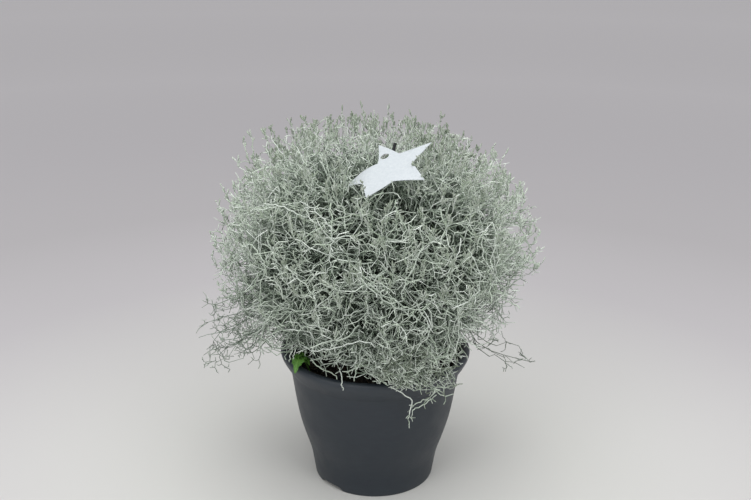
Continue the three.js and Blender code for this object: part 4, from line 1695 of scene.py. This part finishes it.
    def grow(self) -> list[Strands]:
        """Grows the whole bush.

        Returns:
            Every order of twig.
        """
        stems = self.grow_stems()
        branches = self.grow_branches(stems)
        over_rim = self.hanging_branches(stems, self.spill())
        strands = self.rim_strands() + self.front_strands()
        loose = self.hanging_branches(stems, LOOSE_TWIGS)
        long_twigs = self.grow_long_twigs()
        sides = [self.fork(branches, self.side), self.fork(over_rim, self.spill_side),
                 self.fork(loose, self.loose_side)]
        few = replace(self.twiglet, share=self.spill_twiglets)
        twiglets = [self.fork(sides[0], self.twiglet), self.fork(sides[1], few),
                    self.fork(long_twigs, self.twiglet),
                    self.fork(sides[2], self.loose_twiglet)]
        tips = [self.fork(parents, self.tip) for parents in twiglets]
        sprigs = self.grow_sprigs(sides[0])
        orders = {"stems": [stems], "branches": [branches, over_rim, loose],
                  "single strands": strands, "long twigs": [long_twigs], "side twigs": sides,
                  "twiglets": twiglets, "tips": tips, "sprigs": sprigs}
        for name, members in orders.items():
            LOG.info("%s: %d", name, sum(len(s.path) for s in members))
        return [twigs for members in orders.values() for twigs in members]

    def build_spray(self, number: int, orders: list[Strands], finish: bpy.types.Material) -> int:
        """Makes the piece of one spray.

        Args:
            number: its number, from 0.
            orders: twigs of the whole bush.
            finish: its material.

        Returns:
            How many triangles it has.
        """
        vertices, faces, ages, tints, base = [], [], [], [], 0
        for strands in orders:
            own = strands.picked(strands.spray == number)
            if not len(own.path):
                continue
            points, tube_faces = own.tubes()
            vertices.append(points)
            faces += [f + base for f in tube_faces]
            base += len(points)
            ages.append(np.repeat(own.age.ravel(), own.sides))
            tint = self.random.uniform(0, 1, len(own.path))
            tints.append(np.repeat(tint, own.sides * own.path.shape[1]))
        piece = make_piece(f"twigs_{number + 1:02d}", np.vstack(vertices), faces, finish,
                           {"twig_age_and_shade": np.concatenate(ages), "twig_tint": np.concatenate(tints)})
        settle(piece, f"bush_spray_{number + 1:02d}")
        triangles = sum(len(f) * (f.shape[1] - 2) for f in faces)
        LOG.info("%s: %d triangles", piece.name, triangles)
        return triangles

    def build(self) -> None:
        """Makes one piece for each spray."""
        finish = FeltedTwig("felted_twig", roughness=0.85).make()
        orders = self.grow()
        numbers = range(len(self.spray_list()))
        total = sum(self.build_spray(number, orders, finish) for number in numbers)
        LOG.info("bush: %d triangles", total)


# Tag and stake


@dataclass(frozen=True)
class CardPlace:
    """Where the card tag lies, how large its star is and what room it keeps clear of twigs.

    Directions on the card are in degrees, from its way across towards its way up.
    """

    middle: Array = field(default_factory=lambda: MM * np.array([12.6, -80.0, 398.0]))
    normal: Array = field(default_factory=lambda: unit(np.array([-0.362, -0.292, 0.885])))
    upward: Array = field(default_factory=lambda: unit(np.array([0.442, 0.782, 0.439])))
    tips: int = 5
    tip_r: float = 52 * MM
    first_tip: float = 126
    # The notch after each tip is cut as deep as the photograph shows it, from the first tip on.
    notch_r: tuple = (19 * MM, 33 * MM, 28 * MM, 25 * MM, 23 * MM)
    # The arm that bends down under the twigs, and the share of it from which they lie over it.
    bent_tip: float = -162
    bent_from: float = 0.56
    room_below: float = 2.5 * MM
    room_above: float = 60 * MM
    edge_room: float = -3 * MM
    # The way from the card to the camera.
    sight: tuple = (-0.013, -1.047, 0.27)
    sight_room: float = -6.5 * MM
    hole_at: tuple = (-16 * MM, 18.5 * MM)
    hole_r: float = 4.8 * MM
    pit_r: float = 10.5 * MM
    pit_depth: float = 120 * MM

    @property
    def across(self) -> Array:
        """Way across the card."""
        return unit(np.cross(self.upward, self.normal))

    def covers(self, path: Array) -> Array:
        """Whether points are just under the card, over it, or between it and the camera.

        The pit behind the hole is kept clear too, so that the hole looks dark.

        Args:
            path: points in metres.

        Returns:
            One truth for each point.
        """
        from_tag = path - self.middle
        rise = from_tag @ self.normal
        x, y = from_tag @ self.across, from_tag @ self.upward
        over = self.on_card(x, y, self.edge_room) & (rise > -self.room_below) & (rise < self.room_above)
        sight = unit(np.array(self.sight))
        shift = rise / (sight @ self.normal)
        x, y = x - shift * (sight @ self.across), y - shift * (sight @ self.upward)
        from_hole = np.hypot(x - self.hole_at[0], y - self.hole_at[1])
        pit = (from_hole < self.pit_r) & (np.abs(shift) < self.pit_depth)
        in_front = self.on_card(x, y, self.sight_room) & (rise > 0) & (shift < self.room_above)
        return over | pit | in_front

    def on_card(self, x: Array, y: Array, room: float) -> Array:
        """Whether points in the card's plane are on the card, but not on the end of its bent arm.

        Args:
            x: places across the card.
            y: places up the card.
            room: how far past the edge still counts, or how far short of it where negative.

        Returns:
            One truth for each point.
        """
        inside = np.hypot(x, y) < self.edge(np.arctan2(y, x)) + room
        return inside & (self.along(x, y, self.bent_tip) <= self.bent_from * self.tip_r)

    def edge(self, turn: Array) -> Array:
        """Distance from the middle of the card to its edge.

        Args:
            turn: directions on the card, in radians.

        Returns:
            The distance in each direction.
        """
        fifth = 2 * math.pi / self.tips
        step = (turn - math.radians(self.first_tip)) / fifth
        fold = np.abs((step + 0.5) % 1 - 0.5) * fifth
        reach = np.array(self.notch_r)[np.floor(step).astype(int) % self.tips]
        notch = reach[..., None] * np.array([math.cos(fifth / 2), math.sin(fifth / 2)])
        slope = notch - np.array([self.tip_r, 0])
        normal = unit(np.stack([slope[..., 1], -slope[..., 0]], -1))
        facing = normal[..., 0] * np.cos(fold) + normal[..., 1] * np.sin(fold)
        return dot(normal, notch)[..., 0] / facing

    def along(self, x: Array, y: Array, turn: float) -> Array:
        """How far points of the card lie out in a direction, which is in degrees."""
        return x * math.cos(math.radians(turn)) + y * math.sin(math.radians(turn))


CARD = CardPlace()


@dataclass
class CardTag:
    """The bare star-shaped card tag, slightly bent, and the stake beside it, which keeps its solid."""

    place: CardPlace = CARD
    thick: float = 0.6 * MM
    columns: int = 100
    rings: int = 16
    core: float = 0.04
    # Each arm that bends: its direction, and how far its tip drops and turns aside.
    bends: tuple = ((-162, 10 * MM, 6 * MM), (-18, 3.5 * MM, 0), (-90, -2 * MM, 0), (126, 0, 5.5 * MM))
    bend_from: float = 0.35
    drop_power: float = 2
    aside_power: float = 1.5
    hole_sides: int = 28
    punch: float = 5 * MM
    sharp_edge: float = 40

    def sheet(self) -> tuple[Array, list[Array]]:
        """The card as a thin closed shell, laid in place with its arms bent.

        Returns:
            Vertices and faces.
        """
        turn = math.radians(self.place.first_tip) + 2 * math.pi * np.arange(self.columns) / self.columns
        share = np.linspace(self.core, 1, self.rings)[:, None]
        edge = self.place.edge(turn)
        x, y = share * edge * np.cos(turn), share * edge * np.sin(turn)
        drop, slip_x, slip_y = np.zeros((3, *x.shape))
        start = self.bend_from * self.place.tip_r
        for tip, depth, aside in self.bends:
            out = np.clip((self.place.along(x, y, tip) - start) / (self.place.tip_r - start), 0, 1)
            drop += depth * out ** self.drop_power
            slip_x -= aside * out ** self.aside_power * math.sin(math.radians(tip))
            slip_y += aside * out ** self.aside_power * math.cos(math.radians(tip))
        x, y = x + slip_x, y + slip_y
        flat = (x[..., None] * self.place.across + y[..., None] * self.place.upward
                + self.place.middle - drop[..., None] * self.place.normal).reshape(-1, 3)
        core = np.arange(self.columns)
        rim = (len(flat) - self.columns + core)[::-1]
        upper = bands(self.rings, self.columns)[:, [0, 3, 2, 1]]
        vertices, quads = shell(flat, upper, rim, self.place.normal * self.thick / 2)
        return vertices, [quads, core[None], core[::-1][None] + len(flat)]

    def build(self, nodes: dict[str, bpy.types.Object]) -> None:
        """Makes the card and dresses the stake.

        Args:
            nodes: the frame's objects by name.
        """
        card = make_piece("card_star", *self.sheet(), CoatedCard("coated_card", roughness=0.55).make())
        x, y = self.place.hole_at
        hole = self.place.middle + x * self.place.across + y * self.place.upward
        reach = self.place.normal * self.punch
        cut(card, *peg(hole - reach, hole + reach, self.place.hole_r, self.hole_sides))
        card.data.set_sharp_from_angle(angle=math.radians(self.sharp_edge))
        settle(card, "tag_star")
        stake = nodes["tag_stake"]
        stake.data.materials.clear()
        stake.data.materials.append(ExtrudedPlastic("extruded_black_plastic", roughness=0.4).make())
        LOG.info("card tag: %d faces", len(card.data.polygons))


# Weed


@dataclass(frozen=True)
class WeedLeaf:
    """A leaf of the weed: its turn and lift in degrees, its share of the stem and its size."""

    turn: float
    lift: float
    at: float
    size: float


@dataclass
class WeedSeedling:
    """The small weed at the rim: a thin stem and a tuft of toothed leaves.

    A leaf's forms are shares of its length. It arches up and droops at its end, folds along its
    midrib and ripples at its edge.
    """

    foot: Array = field(default_factory=lambda: MM * np.array([-74.0, -43.0, 118.0]))
    surface_z: float = 144 * MM
    top: Array = field(default_factory=lambda: MM * np.array([-81.0, -55.0, 168.0]))
    stem_r: float = 0.8 * MM
    stem_points: int = 12
    stem_sides: int = 8
    leaf_length: float = 11 * MM
    leaf_thick: float = 0.4 * MM
    stalk: float = 0.24
    stalk_half: float = 0.035
    blade_half: float = 0.37
    fullness: float = 0.72
    teeth: float = 5.0
    tooth_depth: float = 0.3
    arch: float = 0.2
    droop: float = 0.38
    fold: float = 0.35
    ripple: float = 0.03
    ripples: int = 3
    rows: int = 41
    columns: int = 9
    # Strength of the veins in the finish. Side veins slant to the tip and start past the stalk.
    midrib: float = 0.45
    midrib_half: float = 0.12
    side_veins: float = 0.3
    side_vein_pairs: int = 6
    side_vein_slant: float = 0.8
    side_vein_power: int = 8
    side_veins_from: Range = (0.3, 0.5)
    stem_vein: float = 0.4
    leaves: tuple = (WeedLeaf(-112, 0, 1.0, 1.95), WeedLeaf(-150, 12, 1.0, 1.25),
                     WeedLeaf(178, 34, 1.0, 1.05), WeedLeaf(-128, 48, 1.0, 0.95),
                     WeedLeaf(-78, 30, 0.96, 1.0), WeedLeaf(-50, 8, 0.9, 0.9),
                     WeedLeaf(-100, 70, 1.0, 0.75), WeedLeaf(120, 55, 0.98, 0.8),
                     WeedLeaf(30, 35, 0.92, 0.8), WeedLeaf(-140, -18, 0.8, 1.0))

    @property
    def out_of_soil(self) -> Array:
        """Where the stem leaves the potting mix."""
        return np.array([*self.foot[:2], self.surface_z])

    def grid(self) -> tuple[Array, Array]:
        """Places along a leaf, from 0 to 1, and across it, from -1 to 1."""
        return np.linspace(0, 1, self.rows)[:, None], np.linspace(-1, 1, self.columns)[None]

    def surface(self, length: float) -> Array:
        """One toothed, arched leaf on its stalk, as a sheet.

        Args:
            length: length of the leaf and its stalk.

        Returns:
            Points of the sheet, row by row.
        """
        u, v = self.grid()
        blade = np.clip((u - self.stalk) / (1 - self.stalk), 0, 1)
        tooth = 1 - self.tooth_depth * (1 + np.cos(2 * math.pi * self.teeth * blade)) / 2
        half = self.stalk_half + self.blade_half * np.sin(math.pi * blade ** self.fullness) * tooth
        arch = self.arch * np.sin(math.pi * u) - self.droop * u ** 3
        ripple = self.ripple * np.cos(2 * math.pi * self.ripples * u) * v ** 2
        z = arch + self.fold * half * np.abs(v) - ripple
        return length * np.stack([u + 0 * v, half * v, z], -1).reshape(-1, 3)

    def sheet_faces(self) -> tuple[Array, Array]:
        """How the points of a leaf's sheet join.

        Returns:
            Four-cornered faces, and the numbers of the points round the edge.
        """
        columns, count = self.columns, self.rows * self.columns
        row, column = np.meshgrid(np.arange(self.rows - 1), np.arange(columns - 1), indexing="ij")
        here = (row * columns + column).ravel()
        rim = np.concatenate([np.arange(columns), np.arange(2 * columns - 1, count, columns),
                              np.arange(count - 2, count - columns - 1, -1),
                              np.arange(count - 2 * columns, 0, -columns)])
        return np.stack([here, here + columns, here + columns + 1, here + 1], -1), rim

    def veins(self) -> Array:
        """How near the points of a leaf are to a vein.

        Returns:
            Strength of the veins at each point, for the upper side and again for the lower one.
        """
        u, v = self.grid()
        slanted = u * self.side_vein_pairs - np.abs(v) * self.side_vein_slant
        side = np.cos(2 * math.pi * slanted) ** self.side_vein_power * self.side_veins
        midrib = np.exp(-(v / self.midrib_half) ** 2) * self.midrib
        return np.tile((midrib + side * smooth_step(*self.side_veins_from, u)).ravel(), 2)

    def blade(self, leaf: WeedLeaf) -> tuple[Array, Array]:
        """One leaf in its place on the stem, as a thin closed shell.

        Args:
            leaf: its place and size.

        Returns:
            Vertices and four-cornered faces.
        """
        faces, rim = self.sheet_faces()
        flat, quads = shell(self.surface(self.leaf_length * leaf.size), faces, rim,
                            UP * self.leaf_thick / 2)
        lifted = flat @ np.array(Matrix.Rotation(-math.radians(leaf.lift), 3, "Y")).T
        placed = lifted @ np.array(Matrix.Rotation(math.radians(leaf.turn), 3, "Z")).T
        return placed + self.out_of_soil + (self.top - self.out_of_soil) * leaf.at, quads

    def build(self) -> None:
        """Makes the weed as one piece."""
        path = spline(np.array([self.foot, self.out_of_soil, self.top]), self.stem_points)[None]
        radius = np.full(path.shape[:2], self.stem_r)
        vertices, faces = Strands(path, radius, 0 * radius, np.zeros(1), self.stem_sides).tubes()
        veins = [np.full(len(vertices), self.stem_vein)]
        parts, base = [vertices], len(vertices)
        for leaf in self.leaves:
            points, quads = self.blade(leaf)
            parts.append(points)
            faces.append(quads + base)
            veins.append(self.veins())
            base += len(points)
        piece = make_piece("weed", np.vstack(parts), faces,
                           SeedlingLeaf("fresh_leaf", roughness=0.5).make(),
                           {"vein": np.concatenate(veins)})
        settle(piece, "weed_seedling")
        LOG.info("weed: %d leaves", len(self.leaves))


# Studio


@dataclass
class Studio:
    """Camera, floor and soft light."""

    camera_place: tuple = (-0.001, -1.127, 0.668)
    camera_drop: float = 19.0
    camera_roll: float = 0.65
    lens_mm: float = 50.0
    sensor_mm: float = 36.0
    floor_radii: tuple = (0.02, 0.2, 0.5, 1.0, 2.0, 16.0)
    floor_sides: int = 96
    sky: str = "d6d6d6"
    sky_strength: float = 0.68
    # Each lamp's name, place, width in metres and power in watts.
    lamps: tuple = (
        ("overhead", (0.0, -0.3, 1.65), 2.0, 23.5),
        ("front_left", (-1.3, -1.9, 1.5), 1.4, 12.5),
        ("front_right", (1.5, -1.7, 1.4), 1.4, 9.5),
    )
    aim: tuple = (0.0, 0.0, 0.2)

    def place_camera(self) -> None:
        """Sets the camera at the photograph's angle."""
        data = bpy.data.cameras.new("camera")
        data.lens = self.lens_mm
        data.sensor_width = self.sensor_mm
        camera = bpy.data.objects.new("camera", data)
        turn = Matrix.Rotation(math.radians(90 - self.camera_drop), 4, "X")
        roll = Matrix.Rotation(math.radians(self.camera_roll), 4, "Z")
        camera.matrix_world = Matrix.Translation(self.camera_place) @ turn @ roll
        bpy.context.scene.collection.objects.link(camera)
        bpy.context.scene.camera = camera

    def lay_floor(self) -> None:
        """Lays a round pale floor under the pot."""
        sides = np.arange(self.floor_sides)
        turn = 2 * math.pi * sides / self.floor_sides
        ring = np.stack([np.cos(turn), np.sin(turn), 0 * turn], -1)
        faces = bands(len(self.floor_radii), self.floor_sides)[:, ::-1]
        floor = make_piece("studio_floor", np.vstack([r * ring for r in self.floor_radii]),
                           [faces, sides[None]], StudioFloor("painted_floor", roughness=0.8).make())

    def light(self) -> None:
        """Hangs large soft lamps and an even sky."""
        for name, place, size, power in self.lamps:
            data = bpy.data.lights.new(name, "AREA")
            data.size = size
            data.energy = power
            lamp = bpy.data.objects.new(name, data)
            lamp.location = place
            lamp.rotation_euler = (Vector(self.aim) - Vector(place)).to_track_quat("-Z", "Y").to_euler()
            bpy.context.scene.collection.objects.link(lamp)
        world = bpy.data.worlds.new("soft_sky")
        world.use_nodes = True
        back = world.node_tree.nodes["Background"]
        back.inputs["Color"].default_value = linear(self.sky)
        back.inputs["Strength"].default_value = self.sky_strength
        bpy.context.scene.world = world

    def build(self) -> None:
        """Sets up the studio."""
        self.place_camera()
        self.lay_floor()
        self.light()
        bpy.context.scene.view_settings.view_transform = "Standard"


def main() -> None:
    """Builds the object round its frame."""
    logging.basicConfig(level=logging.INFO, format="%(message)s")
    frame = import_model()
    random = np.random.default_rng(SEED)
    Studio().build()
    pot = NurseryPot()
    pot.build()
    PottingSoil().build(pot, random)
    CushionBush(random).build()
    CardTag().build(frame["nodes"])
    WeedSeedling().build()
    pieces = [piece for piece in bpy.data.objects if piece.type == "MESH" and not piece.hide_render]
    triangles = sum(len(piece.data.loops) - 2 * len(piece.data.polygons) for piece in pieces)
    LOG.info("all pieces, floor and kept solids: %d triangles", triangles)
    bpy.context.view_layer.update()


if __name__ == "__main__":
    main()
